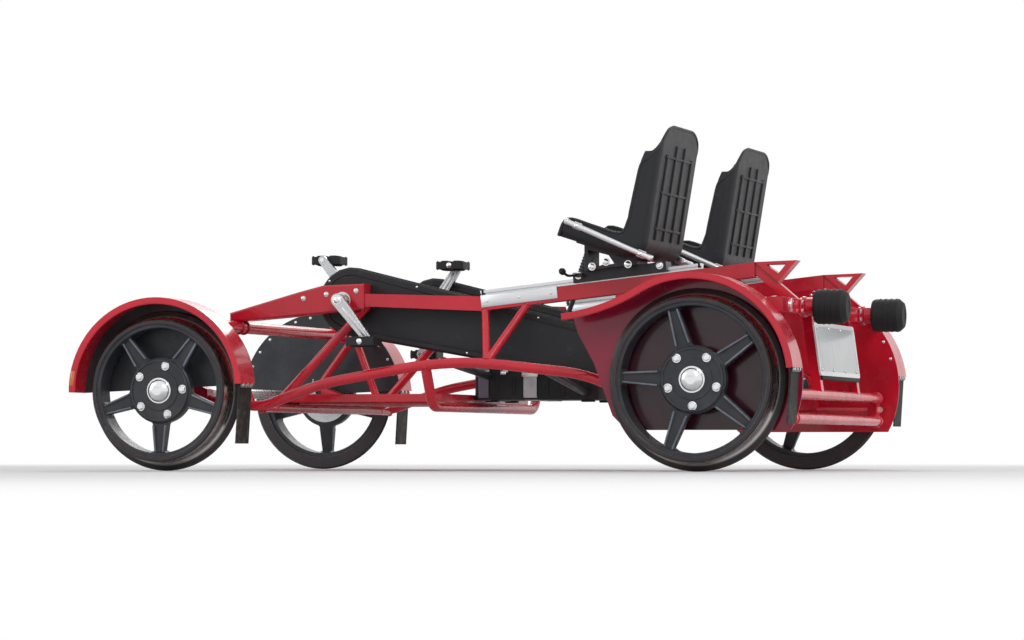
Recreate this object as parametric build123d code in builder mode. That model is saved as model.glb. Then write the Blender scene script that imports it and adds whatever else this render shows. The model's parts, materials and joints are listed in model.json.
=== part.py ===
from build123d import *
from math import asin, cos, degrees, radians, sin, tan
import os

# Pedal rail car for two, side by side, on standard gauge.
# +X forward, +Y left, +Z up, millimetres. The floor is at the flange bottoms, z = 0.
# A pair of numbers that is a place in the side view is (x, z).

# Track and wheels
GAUGE = 1435
FLANGE_PLAY = 9.5         # from each flange to the rail head
FLANGE_WIDTH = 28
FLANGE_HEIGHT = 25
RIM_WIDTH = 85
TYRE_DEPTH = 16
TREAD_FALL = 3            # cone of the tread over its width
RIM_DEPTH = 14
SPOKES = 5
SPOKE_ROOT = 50
SPOKE_TIP = 34
WINDOW_R = 9              # corners of the openings between spokes
HUB_DISC_R = 95
HUB_BORE_R = 30
HUB_THICKNESS = 35
HUB_INSET = 35            # from the wheel's back to the axle's flange
CAP_R = 36
CAP_RISE = 20
SEAT_GAP = 0.1            # between round pieces pushed into one another

# Axles
WHEELBASE = 1720
REAR_AXLE_X = -808
FRONT_TREAD_R = 225
REAR_TREAD_R = 250
AXLE_R = 16
AXLE_FLANGE_R = 88
AXLE_FLANGE_T = 10
AXLE_NECK = 14            # how far the shaft swells before its flange
SPIGOT_LENGTH = 14
RUNNING = 0.05            # radial play of a shaft in its bearing
CLEAR = 6                 # from a moving piece to a still one

# Axle boxes
BOX_WIDTH = 50
BOX_R = 46
BOX_ARM = 106             # from the front axle back to the end of the box's arm
BOX_ARM_LOW = 26          # the arm's corners under and over the end of the chord
BOX_ARM_HIGH = 34
BOX_FOOT = 65             # half length of the rear box's foot on the chord
BOX_SADDLE = 5            # foot's underside over the chord's centre line

# Frame tubes
TUBE_R = 16
CHORD_INSET = 78          # from the liner's inner face to the chord
CHORD_CREST_Z = 345
CHORD_LOW_Z = 192
LOW_CROSS_Z = 200         # the two crossmembers under the floor pan
FRONT_CROSS_BACK = 279    # from the front axle back to its crossmember
MID_CROSS_X = 90
MID_CROSS_DROP = 70       # from the chord in to the crossmember's lower bend
UPPER_CROSS_R = 19
UPPER_CROSS_INSET = 35    # from the front fender's edge down its liner
UPPER_CROSS_ANGLE = 126.6
SEAT_CROSS_R = 20
STAY_R = 13
BOOM_STRUT_R = 14
STRUT_R = 12
STRUT_FOOT_X = -110
STRUT_HEADS_X = (-205, -62)

# Fenders
FENDER_GAP = 35           # from the flange to the inside of the sheet
SHEET = 5
LINER_PLAY = 8            # from the liner to the wheel's back
FENDER_OVERHANG = 25      # past the wheel's face
FENDER_LIP = 18
LINER_T = 4
LINER_AXLE_R = 44
LINER_TURN = 34           # how far the rear liner's edge runs on below the fender's rear end
FLARE_R = 600
FLARE_START = 60          # angle round the rear axle where the flare leaves the arch
FLARE_TURN = 24
FLAP_T = 5
FLAP_INSET = 9            # from each side of the fender
FLAP_LEAN = 12

# Rear posts
POST_WIDTH = 60
POST_T = 40
HEAD_LENGTH = 160
HEAD_PLATE_T = 6

# Seat beams, rails, booms and cranks
SEAT_Y = 450
BEAM_FRONT_X = -50
BEAM_REAR_X = -930
BEAM_DROP = 75            # from the top of the rear fender down to the beam's front end
BEAM_RISE = 6.06          # degrees, up towards the rear
BEAM_WIDTH = 50
BEAM_HEIGHT = 45
STANCHION = 40
RAIL_WIDTH = 36
RAIL_HEIGHT = 18
RAIL_LENGTH = 714
RAIL_FOOT = 4
RAIL_NECK = 9             # height of the groove's top under the rail's head
BOOM_WIDTH = 70
BOOM_TAIL = 70            # from the crank back to the boom's rear end
CRANK_BACK = 510          # from the front axle back to the crank
CRANK_Z = 535
CRANK_LENGTH = 172
LEFT_CRANK_ANGLE = 231    # where the outer arm points, from +X up towards +Z
RIGHT_CRANK_ANGLE = 303
SPINDLE_R = 12
CRANK_BOSS_R = 20
CRANK_EYE_R = 13
ARM_T = 17
PEDAL_PIN_R = 7
PEDAL_WIDTH = 88
PEDAL_LENGTH = 96
PEDAL_T = 24
PEDAL_SLOT = 26
CASE_T = 28
CASE_FRONT_R = 105
CASE_REAR_R = 62
CASE_EDGE = 4

# Seats, placed by the heel, where the pan's underside meets the back
SHELL_WIDTH = 440
SHELL_T = 6
HEEL_X = -632
HEEL_SINK = 12.6          # the heel's corner, before its rounding, under the slider's top
HEEL_R = 55
EDGE_R = 32
SHOULDER_R = 120
PAD_MARGIN = 50           # from the pad to the shell's side
PAN_PAD_T = 36
BACK_PAD_T = 30
PAD_GAP = 0.3
SLIDER_WIDTH = 60
SLIDER_LENGTH = 300
SLIDER_PLAY = 0.3         # between the slider and the rail
SLIDER_TOP = 18           # metal over the rail's head
SLIDER_START = 308        # along the rail from its front end
PEDESTAL_WIDTH = 120
SIDE_RAIL_R = 9

# Rear end
REAR_OVERHANG = 237       # from the rear axle back to the end of the chords
BUFFER_BEAM_WIDTH = 50
BUFFER_BEAM_Z = (478, 523)
BUFFER_Y = 400
BUFFER_R = 53
BUFFER_LENGTH = 100
BUFFER_STUB_R = 28
BUFFER_STUB = 38
LADDER_Z = (160, 235)
LADDER_PLATE = 41         # how much taller than its tubes' spacing the end plate is
UPRIGHT_Y = 250
UPRIGHT_WIDTH = 30
PLATE_OVERHANG = 20
PLATE_HEIGHT = 167
PLATE_RISE = 20           # the plate's middle over the uprights' middle
PLATE_T = 4
PLATE_BORDER = 10
PLATE_BORDER_T = 2
FIN_LENGTH = 132
FIN_T = 50

# Middle
PAN_Y = 440
PAN_T = 4
PAN_EDGE = 25
EQUIPMENT_X = (-338, 82)
EQUIPMENT_Z = (225, 385)
EQUIPMENT_Y = 140
LEVER_FOOT_X = -150
LEVER_LEAN = 112
LEVER_HEIGHT = 315
LEVER_R = 8
GRIP_R = 14
GRIP_LENGTH = 125

SIDES = (("left", 1), ("right", -1))


def polar(centre, radius, angle):
    """Point at an angle in degrees round a centre."""
    return centre[0] + radius * cos(radians(angle)), centre[1] + radius * sin(radians(angle))


# Across the car
WHEEL_BACK_Y = GAUGE / 2 - FLANGE_PLAY - FLANGE_WIDTH
WHEEL_FACE_Y = WHEEL_BACK_Y + RIM_WIDTH
AXLE_FLANGE_Y = WHEEL_BACK_Y + HUB_INSET
HUB_FACE_Y = AXLE_FLANGE_Y + HUB_THICKNESS
FENDER_INNER_Y = WHEEL_BACK_Y - LINER_PLAY
FENDER_OUTER_Y = WHEEL_FACE_Y + FENDER_OVERHANG
FENDER_WIDTH = FENDER_OUTER_Y - FENDER_INNER_Y
FENDER_MID_Y = FENDER_INNER_Y + FENDER_WIDTH / 2
LINER_INNER_Y = FENDER_INNER_Y - LINER_T
CHORD_Y = LINER_INNER_Y - CHORD_INSET
CASE_Y = SEAT_Y - BOOM_WIDTH / 2 - CASE_T / 2
ARM_INNER = BOOM_WIDTH / 2 + CASE_T + CLEAR      # from the boom's middle to the arm

# Along the car
FRONT_AXLE = (REAR_AXLE_X + WHEELBASE, FRONT_TREAD_R + FLANGE_HEIGHT)
REAR_AXLE = (REAR_AXLE_X, REAR_TREAD_R + FLANGE_HEIGHT)
FRONT_FENDER_R = FRONT_AXLE[1] + FENDER_GAP + SHEET
REAR_FENDER_R = REAR_AXLE[1] + FENDER_GAP + 2 * SHEET
UPPER_CROSS = polar(FRONT_AXLE, FRONT_FENDER_R - UPPER_CROSS_INSET, UPPER_CROSS_ANGLE)
FRONT_CROSS_X = FRONT_AXLE[0] - FRONT_CROSS_BACK
FLARE_CENTRE = polar(REAR_AXLE, REAR_FENDER_R + FLARE_R, FLARE_START)
FLARE_END = polar(FLARE_CENTRE, FLARE_R, FLARE_START + 180 + FLARE_TURN)
BEAM_FRONT_Z = REAR_AXLE[1] + REAR_FENDER_R - BEAM_DROP    # centre line at the beam's front end
HEAD_X = (FLARE_END[0] + 13 - HEAD_LENGTH, FLARE_END[0] + 13)
HEAD_Z = FLARE_END[1] - 9
POST_X = (HEAD_X[0] + 20, HEAD_X[0] + 20 + POST_WIDTH)
SEAT_CROSS = ((POST_X[0] + POST_X[1]) / 2, HEAD_Z - SEAT_CROSS_R + 1)
CHORD_REAR_X = REAR_AXLE_X - REAR_OVERHANG
BUFFER_BEAM_X = (CHORD_REAR_X - 20, CHORD_REAR_X - 20 + BUFFER_BEAM_WIDTH)
BUFFER_Z = sum(BUFFER_BEAM_Z) / 2
LADDER_X = CHORD_REAR_X - 30
CRANK_X = FRONT_AXLE[0] - CRANK_BACK
BOOM_REAR_X = CRANK_X - BOOM_TAIL

# Corners of the side chord from its front end: x, z, largest radius of the bend
CHORD_ROWS = (
    (FRONT_AXLE[0] - BOX_ARM, FRONT_AXLE[1] - 28, 0),
    (FRONT_CROSS_X, LOW_CROSS_Z, 150),
    (FRONT_CROSS_X - 203, CHORD_CREST_Z - 73, 700),
    (0, CHORD_CREST_Z, 1200),
    (REAR_AXLE_X + 378, CHORD_CREST_Z - 49, 500),
    (REAR_AXLE_X + 148, CHORD_LOW_Z, 250),
    (CHORD_REAR_X, CHORD_LOW_Z - 2, 0),
)

# name, axle, tread radius, angle of the first spoke
AXLE_ROWS = (
    ("front", FRONT_AXLE, FRONT_TREAD_R, 54),
    ("rear", REAR_AXLE, REAR_TREAD_R, 2),
)

# name, axle, radius, angle of the rear end, sweep, drop of the flap, flared or not
FENDER_ROWS = (
    ("front", FRONT_AXLE, FRONT_FENDER_R, 176, 177, 185, False),
    ("rear", REAR_AXLE, REAR_FENDER_R, 174, 174 - FLARE_START, 165, True),
)

# Heights measured from the crank's line: x, z
BOOM_TOP = ((CRANK_X + 150, CRANK_Z + 28), (CRANK_X + 68, CRANK_Z + 48), (BOOM_REAR_X, CRANK_Z + 52))
BOOM_UNDER = (BOOM_REAR_X, CRANK_Z - 29)

os.makedirs("parts", exist_ok=True)


def side_plane(y):
    """Upright plane at y, with local x forward and local y up."""
    return Plane.XZ.offset(-y)


def both_sides(y):
    """The side planes at +y and -y, for pieces made in pairs."""
    return side_plane(y), side_plane(-y)


def chord_z(x):
    """Height of the side chord's corner line at x."""
    for (x_a, z_a, _), (x_b, z_b, _) in zip(CHORD_ROWS, CHORD_ROWS[1:]):
        if x_b <= x <= x_a:
            return z_a + (z_b - z_a) * (x - x_a) / (x_b - x_a)
    return CHORD_ROWS[-1][1]


def chord_bends():
    """Radius of each bend of the side chord, as large as its two runs leave room for."""
    corners = [Vector(x, z) for x, z, _ in CHORD_ROWS]
    radii = []
    for before, corner, after, (_, _, largest) in zip(corners, corners[1:], corners[2:], CHORD_ROWS[1:]):
        run = min((corner - before).length, (after - corner).length)
        turn = (corner - before).get_angle(after - corner)
        radii.append(min(largest, 0.45 * run / tan(radians(turn / 2))))
    return radii


def beam_z(x):
    """Height of the seat beam's centre line at x."""
    return BEAM_FRONT_Z + (BEAM_FRONT_X - x) * tan(radians(BEAM_RISE))


def save(sub_part, name):
    """Labels a finished sub-part and writes its file."""
    sub_part.part.label = name
    export_step(sub_part.part, f"parts/{name}.step")


def add_tube(start, end, radius):
    """Adds a straight round tube between two points to the sub-part in hand."""
    run = Vector(*end) - Vector(*start)
    with BuildSketch(Plane(origin=start, z_dir=run)) as section:
        Circle(radius)
    extrude(section.sketch, amount=run.length)


def add_bent_tube(points, bends, radius):
    """Adds a round tube along straight runs joined by bends of the radii given."""
    with BuildLine() as route:
        FilletPolyline(*points, radius=bends)
    with BuildSketch(Plane(origin=route.line @ 0, z_dir=route.line % 0)) as section:
        Circle(radius)
    sweep(section.sketch, path=route.line)


def cut_bore(centre, radius, reach):
    """Cuts a round hole across the whole car at a place in the side view."""
    with BuildSketch(side_plane(0)) as hole:
        with Locations(centre):
            Circle(radius)
    extrude(hole.sketch, amount=reach, both=True, mode=Mode.SUBTRACT)


def spoke_window(rim_in):
    """Outline of the opening between two spokes, its middle on local +X."""
    root_r = HUB_DISC_R + 8
    half_turn = 180 / SPOKES
    root = half_turn - degrees(asin(SPOKE_ROOT / 2 / root_r))
    tip = half_turn - degrees(asin(SPOKE_TIP / 2 / rim_in))
    with BuildSketch() as window:
        with BuildLine():
            CenterArc((0, 0), rim_in, -tip, 2 * tip)
            CenterArc((0, 0), root_r, -root, 2 * root)
            for turn in (-1, 1):
                Line(polar((0, 0), rim_in, turn * tip), polar((0, 0), root_r, turn * root))
        make_face()
        fillet(window.vertices(), WINDOW_R)
    return window.sketch


# Wheelsets: each axle turns as one with its two wheels. A wheel is a dished five-spoke
# casting with a flanged tyre round it, held on the axle's flange.

for name, (x, z), tread_r, spoke_angle in AXLE_ROWS:
    across = Plane(origin=(x, 0, z), x_dir=(0, 1, 0), z_dir=(1, 0, 0))
    axle_line = Axis((x, 0, z), (0, 1, 0))
    tyre_in = tread_r - TYRE_DEPTH
    rim_out = tyre_in - SEAT_GAP
    rim_in = rim_out - RIM_DEPTH

    with BuildPart() as axle:
        spigot_r = HUB_BORE_R - SEAT_GAP
        spigot_end = AXLE_FLANGE_Y + SPIGOT_LENGTH
        flange_back = AXLE_FLANGE_Y - AXLE_FLANGE_T
        with BuildSketch(across):
            with BuildLine():
                Polyline(
                    (0, 0), (0, AXLE_R), (flange_back - 2 * AXLE_NECK, AXLE_R),
                    (flange_back, AXLE_R + AXLE_NECK), (flange_back, AXLE_FLANGE_R),
                    (AXLE_FLANGE_Y, AXLE_FLANGE_R), (AXLE_FLANGE_Y, spigot_r),
                    (spigot_end, spigot_r), (spigot_end, 0), close=True,
                )
            make_face()
        revolve(axis=axle_line)
        mirror(about=Plane.XZ)
    save(axle, f"{name}_axle")

    with BuildPart() as tyres:
        throat_y = WHEEL_BACK_Y + FLANGE_WIDTH
        flange_r = tread_r + FLANGE_HEIGHT
        face_r = tread_r - TREAD_FALL
        with BuildSketch(across):
            with BuildLine():
                Polyline(
                    (WHEEL_BACK_Y, tyre_in), (WHEEL_BACK_Y, flange_r - 6),
                    (WHEEL_BACK_Y + 8, flange_r), (WHEEL_BACK_Y + 15, flange_r - 2),
                    (throat_y - 6, tread_r + 6), (throat_y, tread_r),
                    (WHEEL_FACE_Y - 4, face_r), (WHEEL_FACE_Y, face_r - 4),
                    (WHEEL_FACE_Y, tyre_in), close=True,
                )
            make_face()
        revolve(axis=axle_line)
        mirror(about=Plane.XZ)
    save(tyres, f"{name}_tyres")

    with BuildPart() as wheels:
        rim_back_y = WHEEL_BACK_Y + 8
        rim_face_y = WHEEL_FACE_Y - 5
        with BuildSketch(across):
            with BuildLine():
                Polyline(
                    (AXLE_FLANGE_Y, HUB_BORE_R), (AXLE_FLANGE_Y, HUB_DISC_R),
                    (AXLE_FLANGE_Y + 12, rim_in - 8), (rim_back_y, rim_in), (rim_back_y, rim_out),
                    (rim_face_y, rim_out), (rim_face_y, rim_in + 2), (HUB_FACE_Y - 4, rim_in - 8),
                    (HUB_FACE_Y - 8, HUB_DISC_R + 8), (HUB_FACE_Y, HUB_DISC_R - 2),
                    (HUB_FACE_Y, HUB_BORE_R), close=True,
                )
            make_face()
        revolve(axis=axle_line)
        window = spoke_window(rim_in)
        with BuildSketch(side_plane(0)):
            with Locations((x, z)):
                with PolarLocations(0, SPOKES, spoke_angle + 180 / SPOKES):
                    add(window)
        extrude(amount=WHEEL_FACE_Y, both=True, mode=Mode.SUBTRACT)
        mirror(about=Plane.XZ)
    save(wheels, f"{name}_wheels")

    with BuildPart() as hub_caps:
        cap_face_y = HUB_FACE_Y + CAP_RISE
        skirt = (HUB_FACE_Y + CAP_RISE / 2, CAP_R - 2)
        crown = (cap_face_y, CAP_R / 4)
        with BuildSketch(across):
            with BuildLine():
                Polyline(
                    (HUB_FACE_Y, 0), (HUB_FACE_Y, CAP_R + 4), (HUB_FACE_Y + 4, CAP_R + 4),
                    (HUB_FACE_Y + 4, CAP_R), skirt,
                )
                ThreePointArc(skirt, (HUB_FACE_Y + CAP_RISE * 0.87, CAP_R * 0.7), crown)
                Polyline(crown, (cap_face_y, 0), (HUB_FACE_Y, 0))
            make_face()
        revolve(axis=axle_line)
        mirror(about=Plane.XZ)
    save(hub_caps, f"{name}_hub_caps")

# Side chords: one arched tube on each side, from the front axle box to the rear ladder

with BuildPart() as side_chords:
    add_bent_tube([(x, CHORD_Y, z) for x, z, _ in CHORD_ROWS], chord_bends(), TUBE_R)
    mirror(about=Plane.XZ)
save(side_chords, "side_chords")

# Crossmembers: two low ones under the floor pan, and one high between the front fenders

with BuildPart() as front_lower_crossmember:
    add_tube((FRONT_CROSS_X, -CHORD_Y, LOW_CROSS_Z), (FRONT_CROSS_X, CHORD_Y, LOW_CROSS_Z), TUBE_R)
    add(side_chords.part, mode=Mode.SUBTRACT)
save(front_lower_crossmember, "front_lower_crossmember")

with BuildPart() as front_upper_crossmember:
    cross_x, cross_z = UPPER_CROSS
    add_tube((cross_x, -LINER_INNER_Y, cross_z), (cross_x, LINER_INNER_Y, cross_z), UPPER_CROSS_R)
save(front_upper_crossmember, "front_upper_crossmember")

with BuildPart() as mid_crossmember:
    drop_y = CHORD_Y - MID_CROSS_DROP
    hook_z = chord_z(MID_CROSS_X)
    add_bent_tube(
        [(MID_CROSS_X, CHORD_Y, hook_z), (MID_CROSS_X, drop_y, LOW_CROSS_Z),
         (MID_CROSS_X, -drop_y, LOW_CROSS_Z), (MID_CROSS_X, -CHORD_Y, hook_z)],
        (60, 60), TUBE_R,
    )
    add(side_chords.part, mode=Mode.SUBTRACT)
save(mid_crossmember, "mid_crossmember")

# Axle boxes: cast housings for the bearings, the front ones with an arm back to the chord,
# the rear ones with a foot down on it

with BuildPart() as front_axle_boxes:
    arm_x, arm_z, _ = CHORD_ROWS[0]
    with BuildSketch(*both_sides(CHORD_Y)):
        with BuildLine():
            CenterArc(FRONT_AXLE, BOX_R, 0, 360)
            Line((arm_x, arm_z - BOX_ARM_LOW), (arm_x, arm_z + BOX_ARM_HIGH))
        make_hull()
    extrude(amount=BOX_WIDTH / 2, both=True)
    cut_bore(FRONT_AXLE, AXLE_R + RUNNING, CHORD_Y + BOX_WIDTH)
    add(side_chords.part, mode=Mode.SUBTRACT)
save(front_axle_boxes, "front_axle_boxes")

with BuildPart() as rear_axle_boxes:
    foot_z = chord_z(REAR_AXLE_X) + BOX_SADDLE
    with BuildSketch(*both_sides(CHORD_Y)):
        with BuildLine():
            CenterArc(REAR_AXLE, BOX_R, 0, 360)
            Line((REAR_AXLE_X - BOX_FOOT, foot_z), (REAR_AXLE_X + BOX_FOOT, foot_z))
        make_hull()
    extrude(amount=BOX_WIDTH / 2, both=True)
    cut_bore(REAR_AXLE, AXLE_R + RUNNING, CHORD_Y + BOX_WIDTH)
    add(side_chords.part, mode=Mode.SUBTRACT)
save(rear_axle_boxes, "rear_axle_boxes")

with BuildPart() as front_stays:
    top = (UPPER_CROSS[0], CHORD_Y, UPPER_CROSS[1])
    chord_foot_x = FRONT_CROSS_X + 30
    add_tube((chord_foot_x, CHORD_Y, chord_z(chord_foot_x)), top, STAY_R)
    add_tube((FRONT_AXLE[0] - 12, CHORD_Y, FRONT_AXLE[1] + AXLE_R + 4), top, STAY_R)
    mirror(about=Plane.XZ)
    for carrier in (side_chords, front_axle_boxes, front_upper_crossmember):
        add(carrier.part, mode=Mode.SUBTRACT)
save(front_stays, "front_stays")

# Crank booms: a tapered box nose that holds the crank, and a tail back to the seat beam

BEAM_HALF = BEAM_HEIGHT / 2 / cos(radians(BEAM_RISE))
with BuildPart() as crank_booms:
    cross_x = UPPER_CROSS[0]
    boom_low_z = UPPER_CROSS[1] + UPPER_CROSS_R
    with BuildSketch(*both_sides(SEAT_Y)):
        with BuildLine():
            Polyline(
                (cross_x + 25, boom_low_z), (cross_x + 25, boom_low_z + 26), *BOOM_TOP, BOOM_UNDER,
                (cross_x - 25, boom_low_z), close=True,
            )
        make_face()
    extrude(amount=BOOM_WIDTH / 2, both=True)
    chamfer(crank_booms.faces().filter_by(Axis.Y).edges(), 5)
    with BuildSketch(*both_sides(SEAT_Y)):
        with BuildLine():
            Polyline(
                (BOOM_REAR_X + 10, BOOM_UNDER[1] + 10), (BOOM_REAR_X + 10, BOOM_UNDER[1] + 50),
                (BEAM_FRONT_X, BEAM_FRONT_Z + BEAM_HALF), (BEAM_FRONT_X, BEAM_FRONT_Z - BEAM_HALF),
                close=True,
            )
        make_face()
    extrude(amount=BEAM_WIDTH / 2, both=True)
    cut_bore((CRANK_X, CRANK_Z), SPINDLE_R + RUNNING, SEAT_Y + BOOM_WIDTH)
save(crank_booms, "crank_booms")

with BuildPart() as boom_struts:
    add_tube((FRONT_CROSS_X, SEAT_Y + 30, LOW_CROSS_Z),
             (BOOM_REAR_X - 2, SEAT_Y + 2, BOOM_UNDER[1] + 14), BOOM_STRUT_R)
    mirror(about=Plane.XZ)
    add(front_lower_crossmember.part, mode=Mode.SUBTRACT)
    add(crank_booms.part, mode=Mode.SUBTRACT)
save(boom_struts, "boom_struts")

# Seat beams with the polished rails that the seats slide on

with BuildPart() as seat_beams:
    with BuildSketch(*both_sides(SEAT_Y)):
        with BuildLine():
            Polyline(
                (BEAM_FRONT_X, BEAM_FRONT_Z - BEAM_HALF), (BEAM_FRONT_X, BEAM_FRONT_Z + BEAM_HALF),
                (BEAM_REAR_X, beam_z(BEAM_REAR_X) + BEAM_HALF),
                (BEAM_REAR_X, beam_z(BEAM_REAR_X) - BEAM_HALF), close=True,
            )
        make_face()
    extrude(amount=BEAM_WIDTH / 2, both=True)
save(seat_beams, "seat_beams")

beam_dir = Vector(-cos(radians(BEAM_RISE)), 0, sin(radians(BEAM_RISE)))
beam_ends = [
    Plane(origin=(BEAM_FRONT_X, sign * SEAT_Y, BEAM_FRONT_Z + BEAM_HALF), x_dir=(0, -1, 0),
          z_dir=beam_dir)
    for _, sign in SIDES
]
with BuildPart() as seat_rails:
    with BuildSketch(*beam_ends):
        with Locations((0, RAIL_FOOT / 2)):
            Rectangle(RAIL_WIDTH, RAIL_FOOT)
        with Locations((0, RAIL_HEIGHT / 2)):
            Rectangle(RAIL_WIDTH / 2, RAIL_HEIGHT)
        with Locations((0, (RAIL_NECK + RAIL_HEIGHT) / 2)):
            Rectangle(RAIL_WIDTH, RAIL_HEIGHT - RAIL_NECK)
    extrude(amount=RAIL_LENGTH)
save(seat_rails, "seat_rails")

with BuildPart() as seat_struts:
    foot = (STRUT_FOOT_X, CHORD_Y, chord_z(STRUT_FOOT_X) + 2)
    for head_x in STRUT_HEADS_X:
        add_tube(foot, (head_x, SEAT_Y + 8, beam_z(head_x) - 12), STRUT_R)
    mirror(about=Plane.XZ)
    add(side_chords.part, mode=Mode.SUBTRACT)
    add(seat_beams.part, mode=Mode.SUBTRACT)
save(seat_struts, "seat_struts")

# Rear posts: saddled on the chords, with a triangular head and a plate out to the fender

with BuildPart() as rear_posts:
    with BuildSketch(*both_sides(CHORD_Y)):
        with BuildLine():
            Polyline(
                (POST_X[0], chord_z(POST_X[0])), (POST_X[0], HEAD_Z - 74), (HEAD_X[0], HEAD_Z - 26),
                (HEAD_X[0], HEAD_Z), (HEAD_X[1], HEAD_Z), (POST_X[1], HEAD_Z - 96),
                (POST_X[1], chord_z(POST_X[1])), close=True,
            )
        make_face()
    extrude(amount=POST_T / 2, both=True)
    plate_inner_y = CHORD_Y - POST_T / 2
    head_plates = [
        (sum(HEAD_X) / 2, sign * (plate_inner_y + LINER_INNER_Y) / 2, HEAD_Z + HEAD_PLATE_T / 2)
        for _, sign in SIDES
    ]
    with Locations(*head_plates):
        Box(HEAD_LENGTH, LINER_INNER_Y - plate_inner_y, HEAD_PLATE_T)
    add(side_chords.part, mode=Mode.SUBTRACT)
save(rear_posts, "rear_posts")

with BuildPart() as seat_crossbar:
    bar_end = CHORD_Y - POST_T / 2
    bar_x, bar_z = SEAT_CROSS
    add_tube((bar_x, -bar_end, bar_z), (bar_x, bar_end, bar_z), SEAT_CROSS_R)
save(seat_crossbar, "seat_crossbar")

with BuildPart() as seat_stanchions:
    with BuildSketch(Plane.XY.offset(bar_z)):
        with Locations((bar_x, SEAT_Y), (bar_x, -SEAT_Y)):
            Rectangle(STANCHION, STANCHION)
    extrude(amount=beam_z(bar_x) - bar_z)
    add(seat_crossbar.part, mode=Mode.SUBTRACT)
    add(seat_beams.part, mode=Mode.SUBTRACT)
save(seat_stanchions, "seat_stanchions")

# Rear end: ladder, uprights with the blank plate, buffer beam, buffers, stays and fins

with BuildPart() as rear_ladder:
    for z in LADDER_Z:
        add_tube((LADDER_X, -CHORD_Y, z), (LADDER_X, CHORD_Y, z), TUBE_R)
    with Locations(*[((LADDER_X + CHORD_REAR_X) / 2, sign * CHORD_Y, sum(LADDER_Z) / 2)
                     for _, sign in SIDES]):
        Box(CHORD_REAR_X - LADDER_X, BOX_WIDTH, LADDER_Z[1] - LADDER_Z[0] + LADDER_PLATE)
    add(side_chords.part, mode=Mode.SUBTRACT)
save(rear_ladder, "rear_ladder")

stub_end = BUFFER_BEAM_X[0] - BUFFER_STUB
with BuildPart() as buffer_beam:
    with Locations((sum(BUFFER_BEAM_X) / 2, 0, BUFFER_Z)):
        Box(BUFFER_BEAM_WIDTH, 2 * LINER_INNER_Y, BUFFER_BEAM_Z[1] - BUFFER_BEAM_Z[0])
    with BuildSketch(Plane.YZ.offset(stub_end)):
        with Locations((BUFFER_Y, BUFFER_Z), (-BUFFER_Y, BUFFER_Z)):
            Circle(BUFFER_STUB_R)
    extrude(amount=BUFFER_STUB + 10)
save(buffer_beam, "buffer_beam")

with BuildPart() as buffers:
    nose_x = stub_end - BUFFER_LENGTH
    for _, sign in SIDES:
        edge_y = BUFFER_Y + BUFFER_R
        outline = (
            (stub_end, BUFFER_Y), (stub_end, edge_y - 4), (stub_end - 8, edge_y),
            (nose_x + 14, edge_y), (nose_x, edge_y - 12), (nose_x, BUFFER_Y),
        )
        with BuildSketch(Plane.XY.offset(BUFFER_Z)):
            with BuildLine():
                Polyline(*[(x, sign * y) for x, y in outline], close=True)
            make_face()
        revolve(axis=Axis((0, sign * BUFFER_Y, BUFFER_Z), (1, 0, 0)))
save(buffers, "buffers")

upright_low = (LADDER_X - UPRIGHT_WIDTH / 2, LADDER_Z[1])
upright_high = (BUFFER_BEAM_X[0] + 8, BUFFER_BEAM_Z[0])
with BuildPart() as rear_uprights:
    with BuildSketch(*both_sides(UPRIGHT_Y)):
        with BuildLine():
            Polyline(
                upright_low, upright_high, (upright_high[0] + UPRIGHT_WIDTH, upright_high[1]),
                (upright_low[0] + UPRIGHT_WIDTH, upright_low[1]), close=True,
            )
        make_face()
    extrude(amount=UPRIGHT_WIDTH / 2, both=True)
    add(rear_ladder.part, mode=Mode.SUBTRACT)
save(rear_uprights, "rear_uprights")

with BuildPart() as rear_plate:
    low = Vector(upright_low[0], 0, upright_low[1])
    high = Vector(upright_high[0], 0, upright_high[1])
    back = Plane(origin=(low + high) / 2, x_dir=(0, -1, 0), z_dir=(high - low).cross(Vector(0, 1, 0)))
    plate_width = 2 * (UPRIGHT_Y + PLATE_OVERHANG)
    with BuildSketch(back):
        with Locations((0, PLATE_RISE)):
            RectangleRounded(plate_width, PLATE_HEIGHT, 12)
    extrude(amount=PLATE_T)
    with BuildSketch(back.offset(PLATE_T)):
        with Locations((0, PLATE_RISE)):
            RectangleRounded(plate_width, PLATE_HEIGHT, 12)
            RectangleRounded(plate_width - 2 * PLATE_BORDER, PLATE_HEIGHT - 2 * PLATE_BORDER, 6,
                             mode=Mode.SUBTRACT)
    extrude(amount=PLATE_BORDER_T)
save(rear_plate, "rear_plate")

beam_end = (BEAM_REAR_X, beam_z(BEAM_REAR_X) + BEAM_HALF)
stay_low = (BUFFER_BEAM_X[0] + 3, BUFFER_BEAM_Z[1])
with BuildPart() as rear_stays:
    with BuildSketch(*both_sides(SEAT_Y)):
        with BuildLine():
            Polyline(
                beam_end, (beam_end[0], beam_end[1] - 38),
                (BUFFER_BEAM_X[1] - 2, BUFFER_BEAM_Z[1]), stay_low, close=True,
            )
        make_face()
    extrude(amount=UPRIGHT_WIDTH / 2, both=True)
save(rear_stays, "rear_stays")

with BuildPart() as fins:
    share = 0.55
    foot = (beam_end[0] + share * (stay_low[0] - beam_end[0]),
            beam_end[1] + share * (stay_low[1] - beam_end[1]))
    tip = (beam_end[0] - FIN_LENGTH, beam_end[1] + 4)
    with BuildSketch(*both_sides(SEAT_Y)):
        with BuildLine():
            Polyline(beam_end, tip, foot, close=True)
        make_face()
    extrude(amount=FIN_T / 2, both=True)
    with BuildSketch(*both_sides(SEAT_Y)):
        with BuildLine():
            Polyline((beam_end[0] - 34, beam_end[1] - 8), (tip[0] + 34, tip[1] - 11),
                     (foot[0] - 2, foot[1] + 27), close=True)
        make_face()
    extrude(amount=FIN_T, both=True, mode=Mode.SUBTRACT)
save(fins, "fins")

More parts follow.
